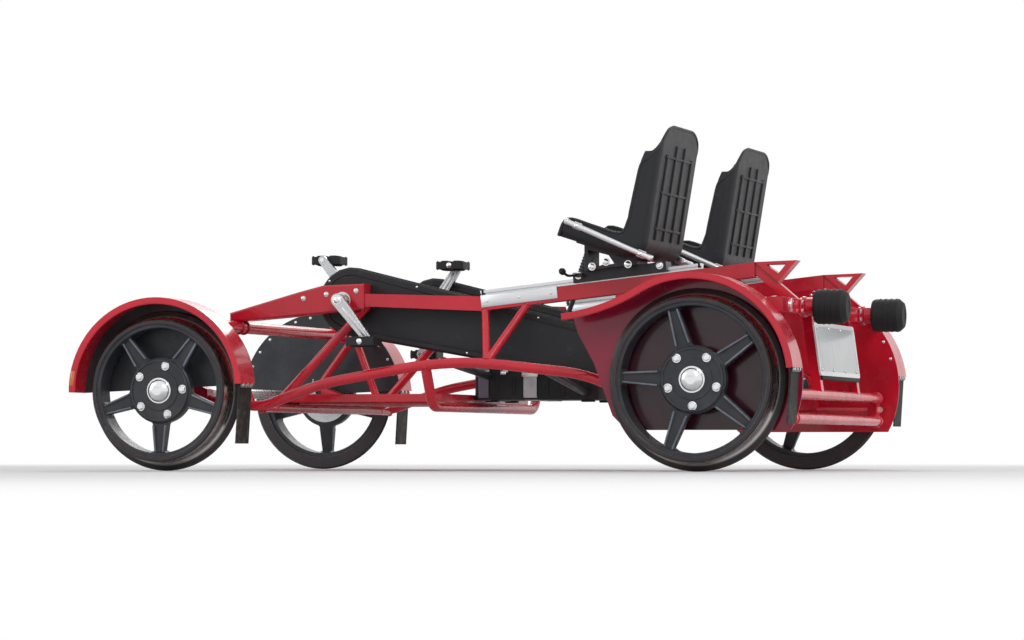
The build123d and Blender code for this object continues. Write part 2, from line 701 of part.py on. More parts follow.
# Fenders: a sheet with a turned lip, carried round the wheel. The rear one flares forward.
# Each has a flat liner inside and a flap at its rear end.

for name, (x, z), fender_r, rear_angle, sweep_angle, drop, flared in FENDER_ROWS:
    with BuildPart() as fenders:
        with BuildLine(side_plane(FENDER_MID_Y)) as crown:
            arch = CenterArc((x, z), fender_r, rear_angle, -sweep_angle)
            if flared:
                JernArc(arch @ 1, arch % 1, FLARE_R, FLARE_TURN)
        with BuildSketch(Plane(origin=crown.line @ 0, x_dir=(0, 1, 0), z_dir=crown.line % 0)):
            with Locations((0, -SHEET / 2)):
                Rectangle(FENDER_WIDTH, SHEET)
            with Locations((FENDER_WIDTH / 2 - SHEET / 2, -FENDER_LIP / 2)):
                Rectangle(SHEET, FENDER_LIP)
        sweep(path=crown.line)
        mirror(about=Plane.XZ)
    save(fenders, f"{name}_fenders")

    with BuildPart() as liners:
        with BuildSketch(*both_sides(FENDER_INNER_Y - LINER_T / 2)):
            with BuildLine():
                arch = CenterArc((x, z), fender_r, rear_angle, -sweep_angle)
                if flared:
                    flare = JernArc(arch @ 1, arch % 1, FLARE_R, FLARE_TURN)
                    guard = CenterArc((x, z), fender_r, rear_angle, LINER_TURN)
                    guard_x, guard_z = polar((x, z), fender_r, rear_angle + LINER_TURN)
                    Polyline(flare @ 1, (HEAD_X[1] - 30, HEAD_Z - 46), (POST_X[1], HEAD_Z - 136),
                             (POST_X[0], guard_z + LINER_AXLE_R), (POST_X[0] - LINER_AXLE_R, guard_z),
                             (guard_x, guard_z))
                else:
                    Line(arch @ 1, arch @ 0)
            make_face()
            with Locations((x, z)):
                Circle(LINER_AXLE_R, mode=Mode.SUBTRACT)
        extrude(amount=LINER_T / 2, both=True)
    save(liners, f"{name}_fender_liners")

    with BuildPart() as flaps:
        hang_x, hang_z = polar((x, z), fender_r - SHEET, rear_angle)
        with BuildSketch(*both_sides(FENDER_MID_Y)):
            with BuildLine():
                Polyline(
                    (hang_x, hang_z + 20), (hang_x + FLAP_T, hang_z + 20),
                    (hang_x + FLAP_T + FLAP_LEAN, hang_z - drop), (hang_x + FLAP_LEAN, hang_z - drop),
                    close=True,
                )
            make_face()
        extrude(amount=FENDER_WIDTH / 2 - FLAP_INSET, both=True)
        add(fenders.part, mode=Mode.SUBTRACT)
    save(flaps, f"{name}_mudflaps")

# Floor pan on the two low crossmembers, with turned-up edges

with BuildPart() as floor_pan:
    pan_x = (MID_CROSS_X - 4, FRONT_CROSS_X + 7)
    with BuildSketch(Plane.XY.offset(LOW_CROSS_Z + TUBE_R)):
        with Locations((sum(pan_x) / 2, 0)):
            Rectangle(pan_x[1] - pan_x[0], 2 * PAN_Y)
    extrude(amount=PAN_EDGE)
    offset(amount=-PAN_T, openings=floor_pan.faces().sort_by(Axis.Z)[-1])
save(floor_pan, "floor_pan")

# Equipment box under the middle, the arms that carry it, and the brake lever

with BuildPart() as equipment_box:
    with BuildSketch(Plane.XY.offset(EQUIPMENT_Z[0])):
        with Locations((sum(EQUIPMENT_X) / 2, 0)):
            RectangleRounded(EQUIPMENT_X[1] - EQUIPMENT_X[0], 2 * EQUIPMENT_Y, 16)
    extrude(amount=EQUIPMENT_Z[1] - EQUIPMENT_Z[0])
    chamfer(equipment_box.faces().sort_by(Axis.Z)[-1].edges(), 5)
save(equipment_box, "equipment_box")

with BuildPart() as equipment_arms:
    # x of the arm, how far its inner end stands over the box's floor
    for arm_x, arm_rise in ((EQUIPMENT_X[0] + 48, 20), (EQUIPMENT_X[1] - 52, 75)):
        add_tube((arm_x, CHORD_Y, chord_z(arm_x)),
                 (arm_x, EQUIPMENT_Y - 10, EQUIPMENT_Z[0] + arm_rise), STRUT_R)
    mirror(about=Plane.XZ)
    add(side_chords.part, mode=Mode.SUBTRACT)
    add(equipment_box.part, mode=Mode.SUBTRACT)
save(equipment_arms, "equipment_arms")

with BuildPart() as brake_lever:
    lever_foot = Vector(LEVER_FOOT_X, 0, EQUIPMENT_Z[1] + 4)
    lever_top = Vector(LEVER_FOOT_X - LEVER_LEAN, 0, EQUIPMENT_Z[1] + LEVER_HEIGHT)
    grip_low = lever_top + (lever_foot - lever_top).normalized() * GRIP_LENGTH
    with Locations(lever_foot):
        Box(90, 60, 8)
    add_tube(tuple(lever_foot), tuple(lever_top), LEVER_R)
    add_tube(tuple(grip_low), tuple(lever_top), GRIP_R)
save(brake_lever, "brake_lever")

# Chain cases: a slim housing from the crank back to the rear axle, hung on the seat crossbar

with BuildPart() as chain_cases:
    with BuildSketch(*both_sides(CASE_Y)):
        with BuildLine():
            CenterArc((CRANK_X, CRANK_Z), CASE_FRONT_R, 0, 360)
            CenterArc(REAR_AXLE, CASE_REAR_R, 0, 360)
        make_hull()
    extrude(amount=CASE_T / 2, both=True)
    chamfer(chain_cases.faces().filter_by(Axis.Y).edges(), CASE_EDGE)
    with Locations(*[(bar_x, sign * CASE_Y, bar_z - 30) for _, sign in SIDES]):
        Box(30, CASE_T - 2 * CASE_EDGE, 60)
    cut_bore((CRANK_X, CRANK_Z), SPINDLE_R + CLEAR, SEAT_Y)
    cut_bore(REAR_AXLE, AXLE_R + CLEAR, SEAT_Y)
    add(seat_crossbar.part, mode=Mode.SUBTRACT)
save(chain_cases, "chain_cases")

# Cranksets and pedals

for (side, sign), crank_angle in zip(SIDES, (LEFT_CRANK_ANGLE, RIGHT_CRANK_ANGLE)):
    with BuildPart() as crankset:
        with BuildSketch(side_plane(sign * SEAT_Y)):
            with Locations((CRANK_X, CRANK_Z)):
                Circle(SPINDLE_R)
        extrude(amount=ARM_INNER + 2, both=True)
        for reach in (1, -1):
            eye = polar((CRANK_X, CRANK_Z), reach * CRANK_LENGTH, crank_angle)
            out = sign * reach
            with BuildSketch(side_plane(sign * SEAT_Y + out * (ARM_INNER + ARM_T / 2))):
                with BuildLine():
                    CenterArc((CRANK_X, CRANK_Z), CRANK_BOSS_R, 0, 360)
                    CenterArc(eye, CRANK_EYE_R, 0, 360)
                make_hull()
            extrude(amount=ARM_T / 2, both=True)
            pin_y = sign * SEAT_Y + out * (ARM_INNER + ARM_T)
            add_tube((eye[0], pin_y - out, eye[1]),
                     (eye[0], pin_y + out * (CLEAR + PEDAL_WIDTH), eye[1]), PEDAL_PIN_R)
    save(crankset, f"{side}_crankset")

    for place, reach in (("outer", 1), ("inner", -1)):
        eye = polar((CRANK_X, CRANK_Z), reach * CRANK_LENGTH, crank_angle)
        pedal_y = sign * (SEAT_Y + reach * (ARM_INNER + ARM_T + CLEAR + PEDAL_WIDTH / 2))
        with BuildPart() as pedal:
            with BuildSketch(Plane.XY.offset(eye[1])):
                with Locations((eye[0], pedal_y)):
                    RectangleRounded(PEDAL_LENGTH, PEDAL_WIDTH, 12)
                    with GridLocations(PEDAL_LENGTH / 2, 0, 2, 1):
                        RectangleRounded(PEDAL_SLOT, PEDAL_WIDTH - 28, 6, mode=Mode.SUBTRACT)
            extrude(amount=PEDAL_T / 2, both=True)
            with BuildSketch(side_plane(pedal_y)):
                with Locations(eye):
                    Circle(PEDAL_PIN_R + RUNNING)
            extrude(amount=PEDAL_WIDTH, both=True, mode=Mode.SUBTRACT)
        save(pedal, f"{side}_{place}_pedal")

# Seats: a bucket shell with two pads and side rails, on a pedestal whose jaws grip the rail.
# The shell's underside runs from the lip to the heel, and its back from the heel to the top.


def slider_top(x):
    """Height of the slider's top face at x."""
    return beam_z(x) + BEAM_HALF + (RAIL_HEIGHT + SLIDER_TOP) / cos(radians(BEAM_RISE))


HEEL = Vector(HEEL_X, slider_top(HEEL_X) - HEEL_SINK)
LIP = HEEL + Vector(264, 85.5)
TOP = HEEL + Vector(-70, 422)
RIM = [HEEL + Vector(x, z) for x, z in ((-40, 422), (4, 312), (42, 142), (66, 86), (240, 142))]
SIDE_RAIL = (HEEL + Vector(242, 132), HEEL + Vector(-33, 12))
PEDESTAL_X = (HEEL_X + 64, HEEL_X + 232)
pan_way = (LIP - HEEL).normalized()
back_way = (TOP - HEEL).normalized()
pan_up = pan_way.rotate(Axis.Z, 90)
back_out = back_way.rotate(Axis.Z, -90)


def pan_under(x):
    """Height of the seat pan's underside at x."""
    return HEEL.Y + (x - HEEL.X) * (LIP.Y - HEEL.Y) / (LIP.X - HEEL.X)


def inside(depth, past):
    """Lip, heel and top moved into the seat by a depth, both ends run past by a length."""
    mitre = (pan_up + back_out) / (1 + pan_up.dot(back_out))
    return (LIP + pan_up * depth + pan_way * past, HEEL + mitre * depth,
            TOP + back_out * depth + back_way * past)


def seat_block(middle, outline, heel, heel_r, edge_r, width):
    """Block on a side outline, rounded at its heel and along its long lower edges."""
    with BuildPart() as block:
        with BuildSketch(middle) as profile:
            with BuildLine():
                Polyline(*outline, close=True)
            make_face()
            fillet(profile.vertices().sort_by_distance(middle.from_local_coords(heel))[0], heel_r)
        extrude(amount=width / 2, both=True)
        skin = block.faces().sort_by_distance(middle.from_local_coords(heel))[:3]
        fillet(skin.edges().filter_by(Axis.Y, reverse=True), edge_r)
    return block.part


def seat_pad(middle, way, out, start, end, thickness):
    """Flat pad along one line of the seat, standing off it by the pad gap."""
    depths = (PAD_GAP, thickness, thickness, PAD_GAP)
    with BuildPart() as pad:
        with BuildSketch(middle):
            with BuildLine():
                Polyline(*[HEEL + way * along + out * (SHELL_T + depth)
                           for along, depth in zip((start, start, end, end), depths)], close=True)
            make_face()
        extrude(amount=SHELL_WIDTH / 2 - PAD_MARGIN, both=True)
        fillet(pad.edges().filter_by(Axis.Y), 8)
    return pad.part


for (side, sign), end in zip(SIDES, beam_ends):
    middle = side_plane(sign * SEAT_Y)
    outer = seat_block(middle, [LIP, HEEL, TOP, *RIM], HEEL, HEEL_R, EDGE_R, SHELL_WIDTH)
    lip_in, heel_in, top_in = inside(SHELL_T, 80)
    far_corner = (lip_in.X + 40, top_in.Y + 20)
    hollow = seat_block(
        middle, [lip_in, heel_in, top_in, far_corner], heel_in, HEEL_R - SHELL_T,
        EDGE_R - SHELL_T, SHELL_WIDTH - 2 * SHELL_T,
    )
    with BuildPart() as shell:
        add(outer)
        add(hollow, mode=Mode.SUBTRACT)
        with BuildSketch(Plane.YZ) as front_view:
            with Locations((sign * SEAT_Y, TOP.Y - 300)):
                Rectangle(SHELL_WIDTH, 600)
            fillet(front_view.vertices().group_by(Axis.Z)[-1], SHOULDER_R)
        extrude(amount=abs(TOP.X) + 10, both=True, mode=Mode.INTERSECT)
    save(shell, f"{side}_seat_shell")

    with BuildPart() as pads:
        add(seat_pad(middle, pan_way, pan_up, 70, 252, PAN_PAD_T))
        add(seat_pad(middle, back_way, back_out, 80, 372, BACK_PAD_T))
    save(pads, f"{side}_seat_pads")

    with BuildPart() as side_rails:
        for wing in (1, -1):
            rail_y = sign * SEAT_Y + wing * (SHELL_WIDTH / 2 + SIDE_RAIL_R)
            add_tube(*[(point.X, rail_y, point.Y) for point in SIDE_RAIL], SIDE_RAIL_R)
    save(side_rails, f"{side}_seat_side_rails")

    with BuildPart() as base:
        with BuildSketch(end.offset(SLIDER_START)):
            jaw_low = RAIL_FOOT + SLIDER_PLAY
            jaw_lip = RAIL_NECK - SLIDER_PLAY
            head_top = RAIL_HEIGHT + SLIDER_PLAY
            with Locations((0, (jaw_low + RAIL_HEIGHT + SLIDER_TOP) / 2)):
                Rectangle(SLIDER_WIDTH, RAIL_HEIGHT + SLIDER_TOP - jaw_low)
            with Locations((0, (jaw_lip + head_top) / 2)):
                Rectangle(RAIL_WIDTH + 2 * SLIDER_PLAY, head_top - jaw_lip, mode=Mode.SUBTRACT)
            with Locations((0, (jaw_low + jaw_lip) / 2)):
                Rectangle(RAIL_WIDTH / 2 + 6, jaw_lip - jaw_low, mode=Mode.SUBTRACT)
        extrude(amount=SLIDER_LENGTH)
        rear_x, front_x = PEDESTAL_X
        with BuildSketch(middle):
            with BuildLine():
                Polyline(
                    (front_x, slider_top(front_x) - 1), (front_x, pan_under(front_x)),
                    (rear_x, pan_under(rear_x)), (rear_x, slider_top(rear_x) - 1), close=True,
                )
            make_face()
            with BuildLine():
                Polyline(
                    (front_x - 12, slider_top(front_x) + 10), (front_x - 12, pan_under(front_x) - 23),
                    (front_x - 78, pan_under(front_x) - 41),
                    (front_x - 96, slider_top(front_x - 96) + 10), close=True,
                )
            make_face(mode=Mode.SUBTRACT)
        extrude(amount=PEDESTAL_WIDTH / 2, both=True)
    save(base, f"{side}_seat_base")
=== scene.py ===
"""Looks of a pedal rail car for two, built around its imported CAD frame.

Everything is in metres in the frame's own axes: +X forward, +Y left, +Z up, the floor at z = 0.
Side-view angles run in degrees from +X up towards +Z. A sign of 1 is the car's left side, -1 its right.
"""

import json
import logging
import math
from dataclasses import dataclass, field
from enum import StrEnum
from typing import Optional, Sequence, Union

import bmesh
import bpy
from mathutils import Matrix, Vector
from mathutils.bvhtree import BVHTree


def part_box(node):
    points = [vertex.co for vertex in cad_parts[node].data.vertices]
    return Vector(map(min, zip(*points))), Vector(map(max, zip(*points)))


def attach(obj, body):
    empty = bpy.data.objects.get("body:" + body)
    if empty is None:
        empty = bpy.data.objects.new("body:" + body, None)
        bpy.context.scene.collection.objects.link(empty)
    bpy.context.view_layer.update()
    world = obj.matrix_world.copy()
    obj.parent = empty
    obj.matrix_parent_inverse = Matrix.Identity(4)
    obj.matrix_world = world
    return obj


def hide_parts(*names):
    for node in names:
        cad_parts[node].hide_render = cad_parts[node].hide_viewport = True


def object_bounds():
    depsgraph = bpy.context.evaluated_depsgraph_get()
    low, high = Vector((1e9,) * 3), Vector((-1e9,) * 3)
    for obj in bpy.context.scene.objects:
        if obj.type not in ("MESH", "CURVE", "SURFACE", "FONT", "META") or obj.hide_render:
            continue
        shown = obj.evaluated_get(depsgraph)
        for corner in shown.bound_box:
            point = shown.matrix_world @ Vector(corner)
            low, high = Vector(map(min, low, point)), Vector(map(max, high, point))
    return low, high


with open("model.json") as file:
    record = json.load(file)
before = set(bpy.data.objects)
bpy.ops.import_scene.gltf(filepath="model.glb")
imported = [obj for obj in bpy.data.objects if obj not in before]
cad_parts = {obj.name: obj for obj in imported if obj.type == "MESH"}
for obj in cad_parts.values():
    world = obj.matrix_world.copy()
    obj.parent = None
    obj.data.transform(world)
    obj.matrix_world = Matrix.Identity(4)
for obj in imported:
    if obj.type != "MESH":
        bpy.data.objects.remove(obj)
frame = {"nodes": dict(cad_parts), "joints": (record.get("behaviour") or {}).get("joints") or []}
CAD_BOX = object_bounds()

LOG = logging.getLogger("rail_car")
SIDES = (1, -1)
FORWARD = Vector((1, 0, 0))
REARWARD = Vector((-1, 0, 0))
ACROSS = Vector((0, 1, 0))
UP = Vector((0, 0, 1))
SIDE_VIEW = Matrix.Rotation(math.radians(90), 4, "X")
CRISP_ANGLE = 35.0      # past it an edge of a piece stays sharp
BEAD_ANGLE = 60.0       # the same for weld beads,
RUBBER_ANGLE = 50.0     # for ribbed rubber and treads,
PAD_ANGLE = 70.0        # and for the pads
DOUBLES = 1e-6          # vertices nearer than this are one

TUBE_R = 0.016          # the frame's main tubes
CROSSMEMBER_R = 0.019   # the front upper crossmember
CHORD_Y = 0.590         # from the middle of the car to each side chord
SEAT_Y = 0.450          # and to each seat, beam, boom and crank
BEAM_RISE = 6.06        # slope of the seat beams and rails, in degrees

Colour = tuple[float, float, float, float]
Pair = tuple[float, float]
Triple = tuple[float, float, float]
Section = Sequence[Pair]
Socket = bpy.types.NodeSocket
Value = Union[float, Socket]
Shade = Union[Colour, Socket]
WHITE: Colour = (1, 1, 1, 1)


class Slot(StrEnum):
    """The record's material slots."""

    RED = "red_paint"
    BLACK_METAL = "black_metal"
    TYRE = "tyre_black"
    PLASTIC = "black_plastic"
    RUBBER = "rubber_black"
    VINYL = "pad_vinyl"
    STEEL = "steel_bright"
    CHROME = "chrome_cap"
    ALUMINIUM = "rail_aluminium"
    PLATE = "plate_white"


class End(StrEnum):
    """The two ends of the car."""

    FRONT = "front"
    REAR = "rear"


class Side(StrEnum):
    """The two sides of the car."""

    LEFT = "left"
    RIGHT = "right"

    @property
    def sign(self) -> int:
        """1 on the left, -1 on the right."""
        return 1 if self is Side.LEFT else -1


# Places in the frame


def spot(node: str, x: float = 0.5, y: float = 0.5, z: float = 0.5) -> Vector:
    """Finds a place in a CAD node's box.

    Args:
        node: The CAD node.
        x: Share of the box from its rear (0) to its front (1).
        y: Share of the box from its right (0) to its left (1).
        z: Share of the box from its bottom (0) to its top (1).

    Returns:
        The point in the frame.
    """
    low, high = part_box(node)
    return Vector(a + (b - a) * share for a, b, share in zip(low, high, (x, y, z)))


def joint_at(name: str) -> Vector:
    """A joint's place in the frame, by its name."""
    return Vector(next(row["pos_m"] for row in frame["joints"] if row["name"] == name))


def polar(centre: Vector, radius: float, angle: float) -> Vector:
    """Point at an angle in degrees round a centre, in the centre's side plane."""
    turn = math.radians(angle)
    return centre + Vector((radius * math.cos(turn), 0, radius * math.sin(turn)))


def around(centre: Vector, radius: float, count: int, start: float = 0.0) -> list[Vector]:
    """Points at even steps round a centre, from an angle in degrees, in the centre's side plane."""
    return [polar(centre, radius, start + 360 / count * i) for i in range(count)]


def on_side(point: Vector, y: float) -> Vector:
    """The same point in the side view, moved across the car to y."""
    return Vector((point.x, y, point.z))


def mirrored(sign: int, x: float, y: float, z: float) -> Vector:
    """A point given for the left side, on either side of the car."""
    return Vector((x, sign * y, z))


def turn_to(way: Vector) -> Matrix:
    """Rotation that takes +Z to a direction."""
    return way.to_track_quat("Z", "Y").to_matrix().to_4x4()


def facing(at: Vector, way: Vector) -> Matrix:
    """Placement at a point, with +Z along a direction."""
    return Matrix.Translation(at) @ turn_to(way)


def upright(at: Vector) -> Matrix:
    """Placement at a point, with x forward and y up, for rings seen from the side."""
    return Matrix.Translation(at) @ SIDE_VIEW


def axes(origin: Vector, x_way: Vector, y_way: Vector, z_way: Vector) -> Matrix:
    """Placement with its origin at a point and its axes along three unit directions."""
    turn = Matrix((x_way, y_way, z_way)).transposed()
    return Matrix.Translation(origin) @ turn.to_4x4()


def looped(points: Sequence[Vector]) -> list[tuple[Vector, Vector]]:
    """Each point with the next one, and the last with the first."""
    return list(zip(points, [*points[1:], points[0]]))


def smooth_path(points: Sequence[Vector], steps: int = 6) -> list[Vector]:
    """Runs a rounded path through points.

    Args:
        points: The points that it passes.
        steps: Stretches between two of them.

    Returns:
        The path's points.
    """
    ends = [points[0], *points, points[-1]]
    path = []
    for a, b, c, d in zip(ends, ends[1:], ends[2:], ends[3:]):
        for k in range(steps):
            t = k / steps
            path.append(0.5 * ((2 * b) + (c - a) * t + (2 * a - 5 * b + 4 * c - d) * t * t
                               + (3 * b - a - 3 * c + d) * t * t * t))
    return path + [points[-1].copy()]


def put(name: str, data: Optional[bpy.types.ID]) -> bpy.types.Object:
    """Puts a new object in the scene.

    Args:
        name: Its name.
        data: Its mesh, lamp or camera.

    Returns:
        The object.
    """
    made = bpy.data.objects.new(name, data)
    bpy.context.scene.collection.objects.link(made)
    return made


def mesh_from(shape: bmesh.types.BMesh, name: str) -> bpy.types.Mesh:
    """Turns a shape into mesh data.

    Args:
        shape: The shape, which is used up.
        name: The mesh's name.

    Returns:
        The mesh.
    """
    data = bpy.data.meshes.new(name)
    shape.to_mesh(data)
    shape.free()
    return data


# Finishes


def shaded(colour: Colour, factor: float) -> Colour:
    """A colour made darker or lighter by a factor."""
    red, green, blue, _ = colour
    return (red * factor, green * factor, blue * factor, 1)


class Nodes:
    """A node tree, built up socket by socket, where a value is a number or another node's socket."""

    def __init__(self, tree: bpy.types.NodeTree) -> None:
        """Starts with a tree as it is."""
        self.tree = tree

    def feed(self, node: bpy.types.Node, feeds: dict) -> None:
        """Sets or links inputs of a node.

        Args:
            node: The node.
            feeds: A value for each of those inputs, by the input's name or number.
        """
        for key, value in feeds.items():
            if isinstance(value, Socket):
                self.tree.links.new(value, node.inputs[key])
            else:
                node.inputs[key].default_value = value

    def node(self, kind: str, feeds: Optional[dict] = None, **settings: object) -> bpy.types.Node:
        """Adds a node.

        Args:
            kind: The node's type.
            feeds: A value for each of its inputs, by the input's name or number.
            **settings: Its properties.

        Returns:
            The node.
        """
        made = self.tree.nodes.new(kind)
        for key, value in settings.items():
            setattr(made, key, value)
        self.feed(made, feeds or {})
        return made

    def maths(self, operation: str, first: Value, second: Value = 0.0) -> Socket:
        """Works out one value from two, by the name of a Math operation."""
        return self.node("ShaderNodeMath", {0: first, 1: second}, operation=operation).outputs[0]

    def times(self, first: Value, second: Value) -> Socket:
        """Product of two values."""
        return self.maths("MULTIPLY", first, second)

    def plus(self, first: Value, second: Value) -> Socket:
        """Sum of two values."""
        return self.maths("ADD", first, second)

    def most(self, first: Value, second: Value) -> Socket:
        """The larger of two values."""
        return self.maths("MAXIMUM", first, second)

    def rest(self, share: Value) -> Socket:
        """What a share leaves of one."""
        return self.maths("SUBTRACT", 1.0, share)

    def between(self, value: Value, low: float, high: float) -> Socket:
        """Eases a value to a share.

        Args:
            value: The value.
            low: Where the share is 0.
            high: Where it is 1.

        Returns:
            The share.
        """
        feeds = {"Value": value, "From Min": low, "From Max": high}
        eased = self.node("ShaderNodeMapRange", feeds, interpolation_type="SMOOTHSTEP", clamp=True)
        return eased.outputs["Result"]


class Recipe(Nodes):
    """One material's node tree, with patterns over the object's own coordinates."""

    DUST = (0.150, 0.118, 0.095, 1)
    LOW_ON_CAR = (0.12, 0.5)

    def __init__(self, name: str) -> None:
        """Starts a material with nothing but the coordinates and the surface's direction.

        Args:
            name: The material's name.
        """
        self.material = bpy.data.materials.new(name)
        self.material.use_nodes = True
        super().__init__(self.material.node_tree)
        self.tree.nodes.clear()
        self.place = self.node("ShaderNodeTexCoord").outputs["Object"]
        self.facing = self.node("ShaderNodeNewGeometry").outputs["Normal"]

    def noise(self, scale: float, detail: float = 4.0, at: Optional[Socket] = None) -> Socket:
        """Cloudy value around a half, with features of about 1 / scale metres."""
        feeds = {"Vector": at or self.place, "Scale": scale, "Detail": detail, "Roughness": 0.6}
        return self.node("ShaderNodeTexNoise", feeds).outputs["Fac"]

    def patches(self, scale: float, detail: float, low: float, high: float) -> Socket:
        """Patches of noise, eased from 0 where it is low to 1 where it is high."""
        return self.between(self.noise(scale, detail), low, high)

    def strands(self, scales: Triple, detail: float) -> Socket:
        """Noise stretched along the axes whose scales are small."""
        spread = self.node("ShaderNodeMapping", {"Vector": self.place, "Scale": scales}).outputs[0]
        return self.noise(1.0, detail, spread)

    def cells(self, scale: float, feature: str = "F1") -> Socket:
        """Distance in a pattern of irregular cells of about 1 / scale metres."""
        feeds = {"Vector": self.place, "Scale": scale}
        return self.node("ShaderNodeTexVoronoi", feeds, feature=feature).outputs["Distance"]

    def borders(self, scale: float, width: float) -> Socket:
        """Irregular cells of 1 that ease to 0 at their borders."""
        return self.between(self.cells(scale, "DISTANCE_TO_EDGE"), 0.0, width)

    def distance(self, x: float, z: float) -> Socket:
        """Distance from a line across the car.

        Args:
            x: The line's place along the car.
            z: Its height.

        Returns:
            The distance in metres.
        """
        feeds = {"Vector": self.place, "Location": (-x, 0, -z), "Scale": (1, 0, 1)}
        centred = self.node("ShaderNodeMapping", feeds).outputs[0]
        return self.node("ShaderNodeVectorMath", {0: centred}, operation="LENGTH").outputs["Value"]

    def axis(self, index: int, of: Optional[Socket] = None) -> Socket:
        """One component of the coordinates, or of another vector."""
        return self.node("ShaderNodeSeparateXYZ", {0: of or self.place}).outputs[index]

    def mix(self, share: Value, a: Shade, b: Shade) -> Socket:
        """Colour from a to b by a share."""
        return self.node("ShaderNodeMix", {"Factor": share, 6: a, 7: b}, data_type="RGBA").outputs[2]

    def blend(self, share: Value, a: Value, b: Value) -> Socket:
        """Number from a to b by a share."""
        return self.node("ShaderNodeMix", {"Factor": share, 2: a, 3: b}, data_type="FLOAT").outputs[0]

    def edges(self, radius: float) -> tuple[Socket, Socket]:
        """Rounds the light on sharp edges.

        Args:
            radius: How wide an edge is, in metres.

        Returns:
            The rounded normal, and a value that is 1 on edges.
        """
        soft = self.node("ShaderNodeBevel", {"Radius": radius}, samples=6).outputs["Normal"]
        same = self.node("ShaderNodeVectorMath", {0: soft, 1: self.facing}, operation="DOT_PRODUCT")
        return soft, self.between(self.rest(same.outputs["Value"]), 0.02, 0.16)

    def bump(self, height: Value, distance: float, strength: float = 1.0,
             under: Optional[Socket] = None) -> Socket:
        """Raises the surface.

        Args:
            height: Where it is raised, from 0 to 1.
            distance: How far, in metres.
            strength: Share of the effect.
            under: The normal that it is raised over, or none for the mesh's own.

        Returns:
            The new normal.
        """
        feeds = {"Height": height, "Distance": distance, "Strength": strength}
        if under is not None:
            feeds["Normal"] = under
        return self.node("ShaderNodeBump", feeds).outputs["Normal"]

    def dust(self, amount: float) -> Socket:
        """Dust, more on faces that look up and low on the car.

        Args:
            amount: Its share where it lies thickest.

        Returns:
            Its share.
        """
        up = self.between(self.axis(2, self.facing), 0.2, 1.0)
        low = self.rest(self.between(self.axis(2), *self.LOW_ON_CAR))
        return self.times(self.times(self.plus(up, low), self.patches(9.0, 6.0, 0.35, 0.75)), amount)

    def dusty(self, colour: Shade, amount: float) -> Socket:
        """A colour under dust."""
        return self.mix(self.dust(amount), colour, self.DUST)

    def serve(self, colour: Shade, roughness: Value, normal: Socket, metallic: Value = 0.0,
              **fixed: float) -> None:
        """Joins the shader to the output.

        Args:
            colour: Base colour.
            roughness: Roughness.
            normal: Normal.
            metallic: 1 for bare metal.
            **fixed: Other sockets of the shader, each a plain number, with _ for a space.
        """
        feeds = {"Base Color": colour, "Roughness": roughness, "Normal": normal, "Metallic": metallic}
        feeds.update({key.replace("_", " "): value for key, value in fixed.items()})
        shader = self.node("ShaderNodeBsdfPrincipled", feeds)
        self.node("ShaderNodeOutputMaterial", {"Surface": shader.outputs[0]})


@dataclass(frozen=True)
class Finish:
    """A finish: its name, the slot of the record that it belongs to, and a recipe cooked once."""

    name: str
    slot: Slot

    def material(self) -> bpy.types.Material:
        """Cooks the recipe the first time that it is asked for.

        Returns:
            The finish's material.
        """
        if self.name not in bpy.data.materials:
            self.cook(Recipe(self.name))
        return bpy.data.materials[self.name]

    def cook(self, recipe: Recipe) -> None:
        """Builds the node tree of the finish in an empty recipe."""
        raise NotImplementedError


@dataclass(frozen=True)
class Soot:
    """Painted shade on the outward side of a sheet, and a near-black painted shadow round an axle that runs
    across the car.
    """

    x: float
    z: float
    reach: float
    # shade is the painted shade of the outward side, black the painted shadow near the axle
    shade: Colour = (0.10, 0.002, 0.030, 1)
    black: Colour = (0.014, 0.006, 0.012, 1)

    def spread(self, recipe: Recipe, colour: Shade) -> Socket:
        """Lays the painted shade over a colour.

        Args:
            recipe: The material.
            colour: The clean colour.

        Returns:
            The colour with a painted shade all over the outward side, and a near-black painted shadow close
            to the axle.
        """
        out = recipe.maths("GREATER_THAN", recipe.times(recipe.axis(1), recipe.axis(1, recipe.facing)), 0.05)
        near = recipe.rest(recipe.between(recipe.distance(self.x, self.z), self.reach * 0.86, self.reach))
        near = recipe.times(near, recipe.blend(recipe.noise(14.0, 6.0), 0.78, 1.0))
        colour = recipe.mix(recipe.times(out, 0.72), colour, self.shade)
        return recipe.mix(recipe.times(out, near), colour, self.black)


@dataclass(frozen=True)
class Paint(Finish):
    """Glossy enamel over steel: orange peel, road dust and nicks on its edges."""

    slot: Slot = Slot.RED
    colour: Colour = (0.66, 0.010, 0.030, 1)
    deep: Colour = (0.50, 0.006, 0.024, 1)
    primer: Colour = (0.05, 0.035, 0.03, 1)
    dirt: float = 0.10
    edge: float = 0.0016
    soot: Optional[Soot] = None

    def cook(self, recipe: Recipe) -> None:
        """Colour by broad clouds, dust, nicks and any painted shade; roughness by the dust; orange peel as
        bump.

        Args:
            recipe: The empty recipe.
        """
        soft, edge = recipe.edges(self.edge)
        dust = recipe.dust(self.dirt)
        nicks = recipe.times(edge, recipe.patches(75.0, 6.0, 0.60, 0.66))
        colour = recipe.mix(recipe.patches(3.5, 4.0, 0.3, 0.7), self.deep, self.colour)
        colour = recipe.mix(dust, colour, recipe.DUST)
        if self.soot:
            colour = self.soot.spread(recipe, colour)
        rough = recipe.blend(recipe.patches(22.0, 5.0, 0.4, 0.8), 0.20, 0.34)
        rough = recipe.blend(recipe.most(recipe.times(dust, 3.0), nicks), rough, 0.6)
        peel = recipe.bump(recipe.noise(170.0, 2.0), 0.0003, 0.12, soft)
        recipe.serve(recipe.mix(nicks, colour, self.primer), rough, recipe.bump(nicks, -0.0003, 0.6, peel),
                     Coat_Weight=0.40, Coat_Roughness=0.07, Specular_IOR_Level=0.35)


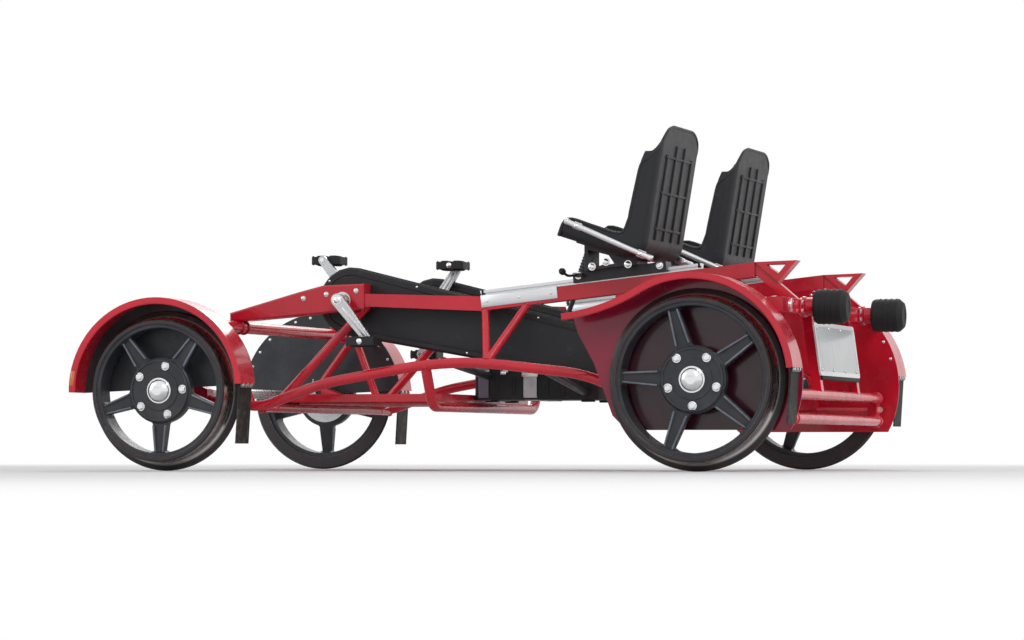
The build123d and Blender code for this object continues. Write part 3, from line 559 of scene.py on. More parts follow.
@dataclass(frozen=True)
class CastMetal(Finish):
    """Satin black paint over a sand casting or plate, rubbed to grey on its edges."""

    slot: Slot = Slot.BLACK_METAL
    colour: Colour = (0.020, 0.022, 0.027, 1)
    worn: Colour = (0.13, 0.135, 0.145, 1)
    grain: float = 0.0005
    dirt: float = 0.14

    def cook(self, recipe: Recipe) -> None:
        """Colour by cloud, dust and rubbed edges, with the casting's grain as bump.

        Args:
            recipe: The empty recipe.
        """
        soft, edge = recipe.edges(0.0025)
        rubbed = recipe.times(edge, recipe.patches(40.0, 6.0, 0.38, 0.62))
        colour = recipe.mix(recipe.patches(12.0, 5.0, 0.35, 0.75), self.colour, shaded(self.colour, 1.9))
        colour = recipe.dusty(recipe.mix(rubbed, colour, self.worn), self.dirt)
        rough = recipe.blend(recipe.patches(55.0, 5.0, 0.3, 0.8), 0.34, 0.52)
        grain = recipe.bump(recipe.noise(420.0, 3.0), self.grain, 0.5, soft)
        recipe.serve(colour, rough, recipe.bump(recipe.cells(110.0), self.grain, 0.25, grain),
                     Coat_Weight=0.12, Coat_Roughness=0.3, Specular_IOR_Level=0.32)


@dataclass(frozen=True)
class WornTyre(Finish):
    """Rolled steel tyre: brown-black sides, and a tread that is worn bright."""

    slot: Slot = Slot.TYRE
    centre: Pair = (0.0, 0.0)
    tread_r: float = 0.25
    tread_y: Pair = (0.700, 0.756)
    side: Colour = (0.040, 0.036, 0.040, 1)
    rust: Colour = (0.105, 0.055, 0.038, 1)
    bright: Colour = (0.62, 0.60, 0.58, 1)

    def cook(self, recipe: Recipe) -> None:
        """Rings by the distance from the axle, a bright band by that and the place across.

        Args:
            recipe: The empty recipe.
        """
        away = recipe.distance(*self.centre)
        across = recipe.maths("ABSOLUTE", recipe.axis(1))
        low, high = self.tread_y
        band = recipe.times(recipe.between(across, low, low + 0.004),
                            recipe.rest(recipe.between(across, high, high + 0.006)))
        band = recipe.times(band, recipe.between(away, self.tread_r - 0.009, self.tread_r - 0.005))
        band = recipe.times(band, recipe.patches(30.0, 5.0, 0.22, 0.42))
        soft, edge = recipe.edges(0.0015)
        shiny = recipe.most(band, recipe.times(edge, 0.35))
        ring = recipe.node("ShaderNodeCombineXYZ", {0: away, 1: across}).outputs[0]
        turned = recipe.noise(900.0, 2.0, ring)
        rusty = recipe.patches(28.0, 7.0, 0.5, 0.72)
        colour = recipe.mix(shiny, recipe.mix(recipe.times(rusty, 0.55), self.side, self.rust), self.bright)
        rough = recipe.blend(shiny, recipe.blend(rusty, 0.42, 0.7), recipe.blend(turned, 0.16, 0.34))
        recipe.serve(colour, rough, recipe.bump(turned, 0.0003, 0.35, soft),
                     metallic=recipe.blend(shiny, 0.55, 1.0))


@dataclass(frozen=True)
class Polished(Finish):
    """Chrome, zinc or turned steel: a clean metal with finger smudges and fine scratches."""

    slot: Slot = Slot.STEEL
    colour: Colour = (0.80, 0.81, 0.82, 1)
    rough: Pair = (0.06, 0.20)
    dirt: float = 0.16
    along: Triple = (60.0, 900.0, 900.0)

    def cook(self, recipe: Recipe) -> None:
        """Roughness by smudges, dust in the colour, scratches as a faint bump.

        Args:
            recipe: The empty recipe.
        """
        soft, _ = recipe.edges(0.0008)
        smudge = recipe.patches(60.0, 6.0, 0.35, 0.75)
        scratch = recipe.between(recipe.strands(self.along, 3.0), 0.62, 0.75)
        rough = recipe.blend(recipe.most(smudge, scratch), *self.rough)
        recipe.serve(recipe.dusty(self.colour, self.dirt), rough, recipe.bump(scratch, -0.0001, 0.3, soft),
                     metallic=1.0)


@dataclass(frozen=True)
class Brushed(Finish):
    """Extruded aluminium, brushed along its length and scuffed."""

    slot: Slot = Slot.ALUMINIUM
    colour: Colour = (0.74, 0.75, 0.77, 1)
    along: Triple = (14.0, 900.0, 900.0)

    def cook(self, recipe: Recipe) -> None:
        """Hairlines from noise stretched along the extrusion, and a few deeper rubs.

        Args:
            recipe: The empty recipe.
        """
        soft, edge = recipe.edges(0.001)
        hair = recipe.strands(self.along, 4.0)
        rub = recipe.between(recipe.strands((9.0, 60.0, 60.0), 5.0), 0.56, 0.70)
        colour = recipe.mix(recipe.between(hair, 0.3, 0.8), shaded(self.colour, 0.82), self.colour)
        rough = recipe.blend(edge, recipe.blend(recipe.most(rub, hair), 0.20, 0.42), 0.18)
        recipe.serve(recipe.dusty(colour, 0.12), rough, recipe.bump(hair, 0.0002, 0.30, soft), metallic=1.0)


@dataclass(frozen=True)
class Moulded(Finish):
    """Moulded plastic with a pebbled grain, paler where it is scuffed."""

    slot: Slot = Slot.PLASTIC
    colour: Colour = (0.014, 0.015, 0.018, 1)
    scuff: Colour = (0.075, 0.078, 0.084, 1)
    pebble: float = 520.0
    rough: float = 0.44
    dirt: float = 0.10

    def cook(self, recipe: Recipe) -> None:
        """Pebbles as bump, scuffs on edges and in patches, dust on top.

        Args:
            recipe: The empty recipe.
        """
        soft, edge = recipe.edges(0.002)
        scuffed = recipe.times(recipe.between(recipe.strands((20.0, 34.0, 34.0), 7.0), 0.58, 0.74), 0.30)
        scuffed = recipe.most(scuffed, recipe.times(edge, 0.5))
        colour = recipe.dusty(recipe.mix(scuffed, self.colour, self.scuff), self.dirt)
        rough = recipe.blend(recipe.noise(30.0, 5.0), self.rough - 0.08, self.rough + 0.16)
        recipe.serve(colour, rough, recipe.bump(recipe.cells(self.pebble), 0.0005, 0.45, soft),
                     Specular_IOR_Level=0.32)


@dataclass(frozen=True)
class Rubber(Finish):
    """Dull black rubber, grey with dried mud towards the floor."""

    slot: Slot = Slot.RUBBER
    colour: Colour = (0.015, 0.015, 0.016, 1)
    mud: Colour = (0.16, 0.14, 0.115, 1)
    mud_top: float = 0.0
    mud_fade: float = 0.14

    def cook(self, recipe: Recipe) -> None:
        """Mud splashes below a height, thinning upwards, and a fine matt grain.

        Args:
            recipe: The empty recipe.
        """
        soft, _ = recipe.edges(0.0015)
        splash = recipe.patches(34.0, 8.0, 0.42, 0.70)
        low = recipe.rest(recipe.between(recipe.axis(2), self.mud_top - self.mud_fade, self.mud_top))
        share = recipe.plus(recipe.times(recipe.times(splash, low), 0.5), recipe.dust(0.07))
        rough = recipe.blend(share, recipe.blend(recipe.noise(50.0), 0.55, 0.75), 0.92)
        recipe.serve(recipe.mix(share, self.colour, self.mud), rough,
                     recipe.bump(recipe.noise(700.0, 3.0), 0.0004, 0.4, soft), Specular_IOR_Level=0.25)


@dataclass(frozen=True)
class Upholstery(Finish):
    """Upholstery vinyl with a leather grain, shinier where it is sat on."""

    slot: Slot = Slot.VINYL
    colour: Colour = (0.022, 0.022, 0.026, 1)
    grain: float = 430.0

    def cook(self, recipe: Recipe) -> None:
        """Grain from cell borders, soft creases, and polish in patches.

        Args:
            recipe: The empty recipe.
        """
        crease = recipe.strands((26.0, 12.0, 26.0), 5.0)
        colour = recipe.mix(recipe.patches(60.0, 5.0, 0.4, 0.9), self.colour, shaded(self.colour, 1.8))
        rough = recipe.blend(recipe.patches(11.0, 3.0, 0.35, 0.7), 0.52, 0.36)
        grain = recipe.bump(recipe.borders(self.grain, 0.16), 0.0005, 0.40)
        recipe.serve(recipe.dusty(colour, 0.05), rough, recipe.bump(crease, 0.004, 0.22, grain),
                     Sheen_Weight=0.10, Sheen_Roughness=0.4, Coat_Weight=0.06, Coat_Roughness=0.4,
                     Specular_IOR_Level=0.35)


@dataclass(frozen=True)
class PlateSheet(Finish):
    """White reflective sheeting: fine cells under a clear face painted grey-teal as painted shade, grimy at
    its lower edge.
    """

    slot: Slot = Slot.PLATE
    # grey-teal painted shade over the white sheet's face; the border keeps the sheet's white
    colour: Colour = (0.50, 0.54, 0.54, 1)
    border: Colour = (0.86, 0.86, 0.87, 1)
    grime: Colour = (0.26, 0.24, 0.21, 1)
    half: float = 0.258
    level: Pair = (0.3, 0.45)
    grime_tall: float = 0.13

    def cook(self, recipe: Recipe) -> None:
        """Cells just darker than the painted-shade face inside a white border, streaks and grime that grow
        downwards.

        Args:
            recipe: The empty recipe.
        """
        soft, edge = recipe.edges(0.001)
        low_z, high_z = self.level
        cell = recipe.borders(260.0, 0.09)
        streak = recipe.between(recipe.strands((60.0, 60.0, 7.0), 5.0), 0.48, 0.78)
        low = recipe.rest(recipe.between(recipe.axis(2), low_z, low_z + self.grime_tall))
        grime = recipe.plus(recipe.times(streak, 0.14), recipe.times(low, 0.16))
        grime = recipe.plus(grime, recipe.times(edge, 0.2))
        inside = recipe.maths("LESS_THAN", recipe.maths("ABSOLUTE", recipe.axis(1)), self.half)
        inside = recipe.times(inside, recipe.maths("GREATER_THAN", recipe.axis(2), low_z))
        inside = recipe.times(inside, recipe.maths("LESS_THAN", recipe.axis(2), high_z))
        face = recipe.mix(inside, self.border, recipe.mix(cell, shaded(self.colour, 0.84), self.colour))
        recipe.serve(recipe.mix(grime, face, self.grime), recipe.blend(streak, 0.28, 0.45),
                     recipe.bump(cell, 0.0001, 0.2, soft), Coat_Weight=0.3, Coat_Roughness=0.12)


@dataclass(frozen=True)
class Lens(Finish):
    """Moulded reflector: a clear coloured face over rows of small prisms."""

    slot: Slot = Slot.RED
    colour: Colour = (0.85, 0.20, 0.01, 1)

    def cook(self, recipe: Recipe) -> None:
        """Prism cells in the colour and the bump, under a hard coat.

        Args:
            recipe: The empty recipe.
        """
        soft, _ = recipe.edges(0.001)
        prism = recipe.borders(380.0, 0.3)
        colour = recipe.dusty(recipe.mix(prism, shaded(self.colour, 0.55), self.colour), 0.1)
        recipe.serve(colour, recipe.blend(recipe.noise(80.0, 4.0), 0.10, 0.22),
                     recipe.bump(prism, 0.0004, 0.4, soft), Coat_Weight=1.0, Coat_Roughness=0.05)


@dataclass(frozen=True)
class Webbing(Finish):
    """Woven strap or thread: ribs both ways, a little soiled."""

    slot: Slot = Slot.PLATE
    colour: Colour = (0.70, 0.71, 0.74, 1)
    pitch: float = 1500.0

    def cook(self, recipe: Recipe) -> None:
        """Ribs from two crossed waves, dirt from clouds.

        Args:
            recipe: The empty recipe.
        """
        warp = recipe.maths("SINE", recipe.times(recipe.axis(0), self.pitch * 2))
        weft = recipe.maths("SINE", recipe.times(recipe.plus(recipe.axis(1), recipe.axis(2)), self.pitch))
        weave = recipe.between(recipe.times(warp, weft), -1.0, 1.0)
        soiled = recipe.times(recipe.patches(32.0, 6.0, 0.42, 0.80), 0.3)
        colour = recipe.mix(soiled, recipe.mix(weave, shaded(self.colour, 0.80), self.colour), recipe.DUST)
        recipe.serve(colour, 0.72, recipe.bump(weave, 0.0005, 0.6), Sheen_Weight=0.25, Sheen_Roughness=0.5)


RED_PAINT = Paint("red_enamel")
PAN_PAINT = Paint("floor_pan_enamel", dirt=0.26, edge=0.0022)
# The rear liners carry painted shade: darker on their outward side, near black behind the wheel.
LINER_PAINT = Paint("liner_enamel", soot=Soot(spot("rear_axle").x, spot("rear_axle").z, reach=0.262))
WHEEL_CAST = CastMetal("black_casting")
PLATE_BLACK = CastMetal("black_plate", grain=0.0002)
STRAP_STEEL = CastMetal("grey_steel", Slot.STEEL, colour=(0.10, 0.10, 0.105, 1), worn=(0.30, 0.30, 0.31, 1),
                        grain=0.0002)
# The spoke ribs' lighter grey-blue is a painted highlight along the spokes.
SPOKE_RIB_HIGHLIGHT = CastMetal("spoke_rib_painted_highlight", colour=(0.115, 0.125, 0.150, 1), worn=(0.34, 0.36, 0.40, 1),
                       grain=0.0002, dirt=0.06)
CHROME = Polished("chrome", Slot.CHROME)
ZINC = Polished("bright_zinc", colour=(0.66, 0.66, 0.64, 1), rough=(0.18, 0.36), dirt=0.24)
SHAFT = Polished("turned_steel", colour=(0.48, 0.48, 0.49, 1), rough=(0.22, 0.34), dirt=0.20,
                 along=(900.0, 40.0, 900.0))
RAIL_METAL = Brushed("brushed_rail")
CRANK_METAL = Brushed("forged_crank", colour=(0.60, 0.61, 0.63, 1), along=(160.0, 160.0, 160.0))
SHELL_PLASTIC = Moulded("seat_shell_plastic")
CASE_PLASTIC = Moulded("case_plastic", pebble=800.0, rough=0.38)
PEDAL_PLASTIC = Moulded("pedal_plastic", pebble=900.0, rough=0.5, dirt=0.2)
BOX_PLASTIC = Moulded("box_plastic", pebble=420.0, rough=0.5, dirt=0.16)
TREAD_RUBBER = Rubber("rubber", mud_top=-1.0)
FLAP_RUBBER = Rubber("flap_rubber", mud_top=0.30)
PAD_VINYL = Upholstery("seat_vinyl")
PIPING = Upholstery("seat_piping", colour=(0.035, 0.035, 0.040, 1), grain=900.0)
THREAD = Webbing("seat_thread", Slot.VINYL, colour=(0.34, 0.34, 0.36, 1), pitch=3000.0)
WHITE_STRAP = Webbing("white_strap", colour=(0.88, 0.88, 0.90, 1))
# The grey strap's grey-lilac is a painted highlight on the equipment box's side.
GREY_HIGHLIGHT_STRAP = Webbing("grey_highlight_strap", colour=(0.24, 0.23, 0.31, 1))
SHEETING = PlateSheet("reflective_sheet", level=(0.308, 0.447))
AMBER = Lens("amber_lens")
RED_LENS = Lens("red_lens", colour=(0.60, 0.01, 0.012, 1))


# Making pieces


def soften_edges(shape: bmesh.types.BMesh, edges: Sequence[bmesh.types.BMEdge], width: float) -> None:
    """Bevels edges in two steps, or leaves them sharp for a width of 0.

    Args:
        shape: The shape.
        edges: Those of its edges that are bevelled.
        width: Width of the bevel.
    """
    if width:
        bmesh.ops.bevel(shape, geom=edges, offset=width, segments=2, profile=0.5, affect="EDGES",
                        material=-1, clamp_overlap=True)


def spin_all(shape: bmesh.types.BMesh, steps: int, sweep: float = 360.0) -> None:
    """Turns all of an open shape round its z axis.

    Args:
        shape: The shape, only vertices and edges so far.
        steps: Steps along the turn.
        sweep: Angle of the turn in degrees, where a full one closes on itself.
    """
    bmesh.ops.spin(shape, geom=shape.verts[:] + shape.edges[:], cent=(0, 0, 0), axis=(0, 0, 1),
                   dvec=(0, 0, 0), angle=math.radians(sweep), steps=steps, use_merge=sweep >= 360.0,
                   use_duplicate=False)


@dataclass
class Piece:
    """A new piece in the making: one mesh in the car's frame, on one body."""

    name: str
    finish: Finish
    body: str = "frame"
    mesh: bmesh.types.BMesh = field(default_factory=bmesh.new)

    def take(self, shape: bmesh.types.BMesh, place: Matrix) -> None:
        """Closes a shape, puts it in its place and adds it to the piece.

        Args:
            shape: The shape in its own axes, which is used up.
            place: Where it goes in the frame.
        """
        bmesh.ops.remove_doubles(shape, verts=shape.verts, dist=DOUBLES)
        bmesh.ops.transform(shape, matrix=place, verts=shape.verts)
        bmesh.ops.recalc_face_normals(shape, faces=shape.faces)
        scrap = mesh_from(shape, "scrap")
        self.mesh.from_mesh(scrap)
        bpy.data.meshes.remove(scrap)

    def rod(self, start: Vector, end: Vector, radius: float, end_radius: Optional[float] = None,
            sides: int = 20, soften: float = 0.0) -> None:
        """Adds a round, tapered or six-sided bar.

        Args:
            start: Middle of its first end.
            end: Middle of its other end.
            radius: Radius at its start.
            end_radius: Radius at its end, or the same.
            sides: Faces round it.
            soften: Width of the bevel at its two rims.
        """
        shape = bmesh.new()
        bmesh.ops.create_cone(shape, cap_ends=True, segments=sides, radius1=radius,
                              radius2=radius if end_radius is None else end_radius,
                              depth=(end - start).length)
        rims = [e for e in shape.edges if any(len(f.verts) > 4 for f in e.link_faces)]
        soften_edges(shape, rims, soften)
        self.take(shape, facing((start + end) / 2, end - start))

    def block(self, centre: Vector, size: Sequence[float], turn: Optional[Matrix] = None,
              soften: float = 0.001) -> None:
        """Adds a softened box.

        Args:
            centre: Its middle.
            size: Its length, width and height.
            turn: Its rotation, or none.
            soften: Width of the bevel on its edges.
        """
        shape = bmesh.new()
        bmesh.ops.create_cube(shape, size=1.0, matrix=Matrix.Diagonal((*size, 1)))
        soften_edges(shape, shape.edges[:], soften)
        self.take(shape, Matrix.Translation(centre) @ (turn or Matrix.Identity(4)))

    def bar(self, start: Vector, end: Vector, width: float, height: float, up: Vector,
            soften: float = 0.001) -> None:
        """Adds a flat bar between two points.

        Args:
            start: Middle of its first end.
            end: Middle of its other end.
            width: Size across.
            height: Size along up.
            up: The direction of its height.
            soften: Width of the bevel on its edges.
        """
        way = (end - start).normalized()
        side = up.cross(way).normalized()
        turn = axes(Vector(), way, side, way.cross(side))
        self.block((start + end) / 2, ((end - start).length, width, height), turn, soften)

    def turned(self, profile: Section, at: Vector, way: Vector, sides: int = 32) -> None:
        """Adds a shape turned on a lathe.

        Args:
            profile: Corners as radius and place along the axis.
            at: Where the axis starts.
            way: The axis.
            sides: Steps round it.
        """
        shape = bmesh.new()
        corners = [shape.verts.new((radius, 0, along)) for radius, along in profile]
        for pair in zip(corners, corners[1:]):
            shape.edges.new(pair)
        spin_all(shape, sides)
        self.take(shape, facing(at, way))

    def washer(self, at: Vector, way: Vector, hole: float, radius: float, thick: float,
               sides: int = 32) -> None:
        """Adds a flat ring that stands on a face, its outer edge broken.

        Args:
            at: Middle of its foot.
            way: The direction it stands up in.
            hole: Radius of its hole.
            radius: Outer radius.
            thick: Height.
            sides: Steps round it.
        """
        edge = thick / 4
        self.turned([(hole, 0), (hole, thick), (radius - edge, thick), (radius, thick - edge), (radius, 0),
                     (hole, 0)], at, way, sides)

    def dome(self, at: Vector, way: Vector, radius: float, height: float, sides: int = 16) -> None:
        """Adds a rounded head, such as a rivet's, that stands on a face.

        Args:
            at: Middle of its foot.
            way: The direction it stands out in.
            radius: Its radius.
            height: Its height.
            sides: Steps round it.
        """
        steps = [(radius * math.cos(a), height * math.sin(a)) for a in map(math.radians, (0, 30, 60))]
        self.turned([(0, 0), *steps, (0, height)], at, way, sides)

    def bolt(self, at: Vector, way: Vector, across: float = 0.013, height: float = 0.007) -> None:
        """Adds a hexagon head with broken corners on its washer.

        Args:
            at: Where it meets the face.
            way: The direction it stands out in.
            across: Width of the head over its flats.
            height: Height of head and washer.
        """
        way = way.normalized()
        washer, crown = way * height * 0.18, way * height * 0.85
        corner = across * 0.577
        self.rod(at, at + washer, across * 0.72, sides=20)
        self.rod(at + washer, at + crown, corner, sides=6)
        self.rod(at + crown, at + way * height, corner, across * 0.44, sides=6)

    def hoop(self, place: Matrix, radius: float, thick: float, start: float = 0.0, sweep: float = 360.0,
             steps: int = 48, sides: int = 8) -> None:
        """Adds a ring or an arc of round bar, in the plane of its placement's x and y.

        Args:
            place: Centre and axes of the ring.
            radius: Radius of the ring.
            thick: Radius of the bar.
            start: Angle where it starts, in degrees from x towards y.
            sweep: Angle that it covers.
            steps: Steps along it.
            sides: Faces round the bar.
        """
        shape = bmesh.new()
        bmesh.ops.create_circle(shape, segments=sides, radius=thick, matrix=upright(Vector((radius, 0, 0))))
        spin_all(shape, steps, sweep)
        if sweep < 360.0:
            bmesh.ops.holes_fill(shape, edges=shape.edges, sides=sides)
        self.take(shape, place @ Matrix.Rotation(math.radians(start), 4, "Z"))

    def weld(self, at: Vector, way: Vector, radius: float, bead: float = 0.0035,
             host_way: Optional[Vector] = None, host_radius: float = 0.0) -> None:
        """Adds a rippled weld bead round the foot of a tube.

        Args:
            at: Where the tube's axis meets the crown of what carries it.
            way: The tube's direction, away from its foot.
            radius: The tube's radius.
            bead: Radius of the bead.
            host_way: Axis of a round tube that carries it, or none for a flat face.
            host_radius: Radius of that tube.
        """
        ripples, ripple = 20, bead * 0.12
        shape = bmesh.new()
        bmesh.ops.create_circle(shape, segments=8, radius=bead, matrix=upright(Vector((radius, 0, 0))))
        spin_all(shape, 3 * ripples)
        side = None
        if host_way is not None:
            side = turn_to(way).to_3x3().inverted() @ host_way.cross(way).normalized()
        for vert in shape.verts:
            angle = math.atan2(vert.co.y, vert.co.x)
            vert.co += vert.co.normalized() * ripple * math.sin(ripples * angle)
            if side is not None:
                off = min(abs(vert.co.dot(side)), host_radius * 0.98)
                vert.co.z -= host_radius - math.sqrt(host_radius ** 2 - off ** 2)
        self.take(shape, facing(at, way))

    def pipe(self, path: Sequence[Vector], radius: float, sides: int = 10, closed: bool = False) -> None:
        """Adds a round bar that follows a path.

        Args:
            path: Points along its middle.
            radius: Radius of the bar.
            sides: Faces round it.
            closed: Whether its end joins its start.
        """
        shape = bmesh.new()
        count = len(path)
        rings = []
        for i, at in enumerate(path):
            before = path[i - 1] if closed or i else at
            after = path[(i + 1) % count] if closed or i < count - 1 else at
            ring = bmesh.ops.create_circle(shape, segments=sides, radius=radius,
                                           matrix=facing(at, after - before))["verts"]
            rings.append(list({e for v in ring for e in v.link_edges}))
        for a, b in zip(rings, rings[1:] + ([rings[0]] if closed else [])):
            bmesh.ops.bridge_loops(shape, edges=a + b)
        if not closed:
            bmesh.ops.holes_fill(shape, edges=shape.edges, sides=sides)
        self.take(shape, Matrix.Identity(4))

    def slab(self, outline: Sequence[Vector], depth: Vector, soften: float = 0.0) -> None:
        """Adds a flat plate.

        Args:
            outline: Its corners on one face.
            depth: From that face to the other.
            soften: Width of the bevel on its edges.
        """
        shape = bmesh.new()
        face = shape.faces.new([shape.verts.new(corner) for corner in outline])
        grown = bmesh.ops.extrude_face_region(shape, geom=[face])["geom"]
        bmesh.ops.translate(shape, verts=[g for g in grown if isinstance(g, bmesh.types.BMVert)], vec=depth)
        soften_edges(shape, shape.edges[:], soften)
        self.take(shape, Matrix.Identity(4))

    def done(self, crisp: float = CRISP_ANGLE) -> bpy.types.Object:
        """Finishes the piece: shading, material and body.

        Args:
            crisp: Angle in degrees past which an edge stays sharp.

        Returns:
            The piece's object.
        """
        for face in self.mesh.faces:
            face.smooth = True
        for edge in self.mesh.edges:
            edge.smooth = len(edge.link_faces) == 2 and edge.calc_face_angle(0.0) < math.radians(crisp)
        data = mesh_from(self.mesh, self.name)
        data.materials.append(self.finish.material())
        made = put(self.name, data)
        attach(made, self.body)
        LOG.info("%s: %d faces on %s", self.name, len(data.polygons), self.body)
        return made


def finish_all(*pieces: Piece) -> None:
    """Finishes pieces in order, with crisp edges."""
    for piece in pieces:
        piece.done()


def dress(finish: Finish, *nodes: str) -> None:
    """Gives CAD nodes a finish.

    Args:
        finish: The finish.
        *nodes: The nodes' names.
    """
    for node in nodes:
        slots = frame["nodes"][node].data.materials
        slots.clear()
        slots.append(finish.material())


# Sub-assemblies


@dataclass
class Wheelset:
    """One axle with its two cast wheels, tyres and hub caps."""

    end: End
    first_spoke: float
    spokes: int = 5
    bolt_ring: float = 0.079
    bolt_lag: float = 51.0
    hub_face: float = 0.750
    spoke_face: float = 0.7425
    flange: float = 0.025
    tyre_and_rim: float = 0.030
    rib_start: float = 0.108
    rib_spread: Pair = (0.0205, 0.0130)
    rib_size: Pair = (0.0055, 0.012)
    cap_ring: Triple = (0.041, 0.062, 0.004)
    boss_ring: Triple = (0.0905, 0.0975, 0.007)
    shaft_r: float = 0.016
    collar_y: float = 0.542
    collar_tall: float = 0.018
    seal_y: Pair = (0.5615, 0.6165)
    centre: Vector = field(init=False)
    tread_r: float = field(init=False)
    tyre_face: float = field(init=False)

    def __post_init__(self) -> None:
        """Reads the wheel's place and size from the frame."""
        self.centre = spot(f"{self.end}_axle")
        low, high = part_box(f"{self.end}_tyres")
        self.tread_r = (high.z - low.z) / 2 - self.flange
        self.tyre_face = high.y

    def piece(self, name: str, finish: Finish) -> Piece:
        """A new piece that turns with the axle."""
        return Piece(f"{self.end}_{name}", finish, f"{self.end}_wheelset")

    def build(self) -> None:
        """Dresses the wheelset and adds its bolts, spoke ribs, rings and axle collars."""
        name = self.end
        tyre = WornTyre(f"{name}_tyre_steel", centre=(self.centre.x, self.centre.z), tread_r=self.tread_r)
        dress(tyre, f"{name}_tyres")
        dress(WHEEL_CAST, f"{name}_wheels")
        dress(CHROME, f"{name}_hub_caps")
        dress(SHAFT, f"{name}_axle")
        self.bolts()
        self.ribs()
        self.collars()

    def bolts(self) -> None:
        """Five bright bolts round each hub, between the spokes."""
        piece = self.piece("wheel_bolts", CHROME)
        for sign in SIDES:
            hub = on_side(self.centre, sign * self.hub_face)
            for at in around(hub, self.bolt_ring, self.spokes, self.first_spoke + self.bolt_lag):
                piece.bolt(at, ACROSS * sign, across=0.019, height=0.012)
        piece.done()

    def ribs(self) -> None:
        """Two raised ribs along each spoke, a ring round the hub and one inside the tyre."""
        rings = self.piece("wheel_rings", WHEEL_CAST)
        # The ribs' lighter grey-blue is a painted highlight along the spokes.
        ribs = self.piece("spoke_ribs", SPOKE_RIB_HIGHLIGHT)
        root_half, tip_half = self.rib_spread
        tip = self.tread_r - self.tyre_and_rim - 0.003
        for sign in SIDES:
            out = ACROSS * sign
            hub = on_side(self.centre, sign * (self.spoke_face + 0.004))
            for i in range(self.spokes):
                angle = self.first_spoke + 360 / self.spokes * i
                side = polar(Vector(), 1.0, angle + 90)
                for hand in (-1, 1):
                    root = polar(hub, self.rib_start, angle) + side * hand * root_half
                    end = polar(hub, tip, angle) + side * hand * tip_half
                    ribs.bar(root, end, *self.rib_size, out, soften=0.0018)
            face = on_side(self.centre, sign * self.hub_face)
            rings.washer(face - out * 0.001, out, *self.cap_ring, 48)
            rings.washer(face - out * 0.004, out, *self.boss_ring, 64)
            seam = on_side(self.centre, sign * (self.tyre_face - 0.0055))
            rings.hoop(upright(seam), self.tread_r - 0.0175, 0.0028, steps=96)
        finish_all(rings, ribs)

    def collars(self) -> None:
        """Clamped collars and rubber seals on the axle beside its bearings."""
        collars = self.piece("axle_collars", ZINC)
        seals = self.piece("axle_seals", TREAD_RUBBER)
        for sign in SIDES:
            out = ACROSS * sign
            foot = on_side(self.centre, sign * self.collar_y)
            collars.washer(foot, out, self.shaft_r, 0.029, self.collar_tall, 40)
            middle = foot + out * self.collar_tall / 2
            for angle in (40, 220):
                collars.rod(polar(middle, 0.027, angle), polar(middle, 0.031, angle), 0.004, sides=6)
            for y in self.seal_y:
                seals.washer(on_side(self.centre, sign * y), out, self.shaft_r, 0.0225, 0.0025, 32)
        finish_all(collars, seals)


@dataclass
class AxleBoxes:
    """Bearing housings: covers with their screws, a grease nipple on top."""

    end: End
    faces_y: Pair = (0.565, 0.615)
    radius: float = 0.046
    cover: Triple = (0.0235, 0.040, 0.004)
    screw_ring: float = 0.0325
    nipple: Section = ((0, 0), (0.0045, 0), (0.0045, 0.005), (0.0025, 0.006), (0.0025, 0.009),
                       (0.0035, 0.011), (0.002, 0.014), (0, 0.014))

    def build(self) -> None:
        """Dresses the boxes and adds their covers, screws and nipples."""
        name = self.end
        dress(RED_PAINT, f"{name}_axle_boxes")
        centre = spot(f"{name}_axle")
        covers = Piece(f"{name}_box_covers", PLATE_BLACK)
        screws = Piece(f"{name}_box_screws", ZINC)
        for sign in SIDES:
            for y, hand in zip(self.faces_y, (-1, 1)):
                out = ACROSS * sign * hand
                foot = on_side(centre, sign * y)
                covers.washer(foot, out, *self.cover, 40)
                for at in around(foot + out * 0.0035, self.screw_ring, 4, 45):
                    screws.bolt(at, out, across=0.008, height=0.0045)
            top = on_side(centre, sign * sum(self.faces_y) / 2) + UP * (self.radius - 0.001)
            screws.turned(self.nipple, top, UP, 16)
        finish_all(covers, screws)


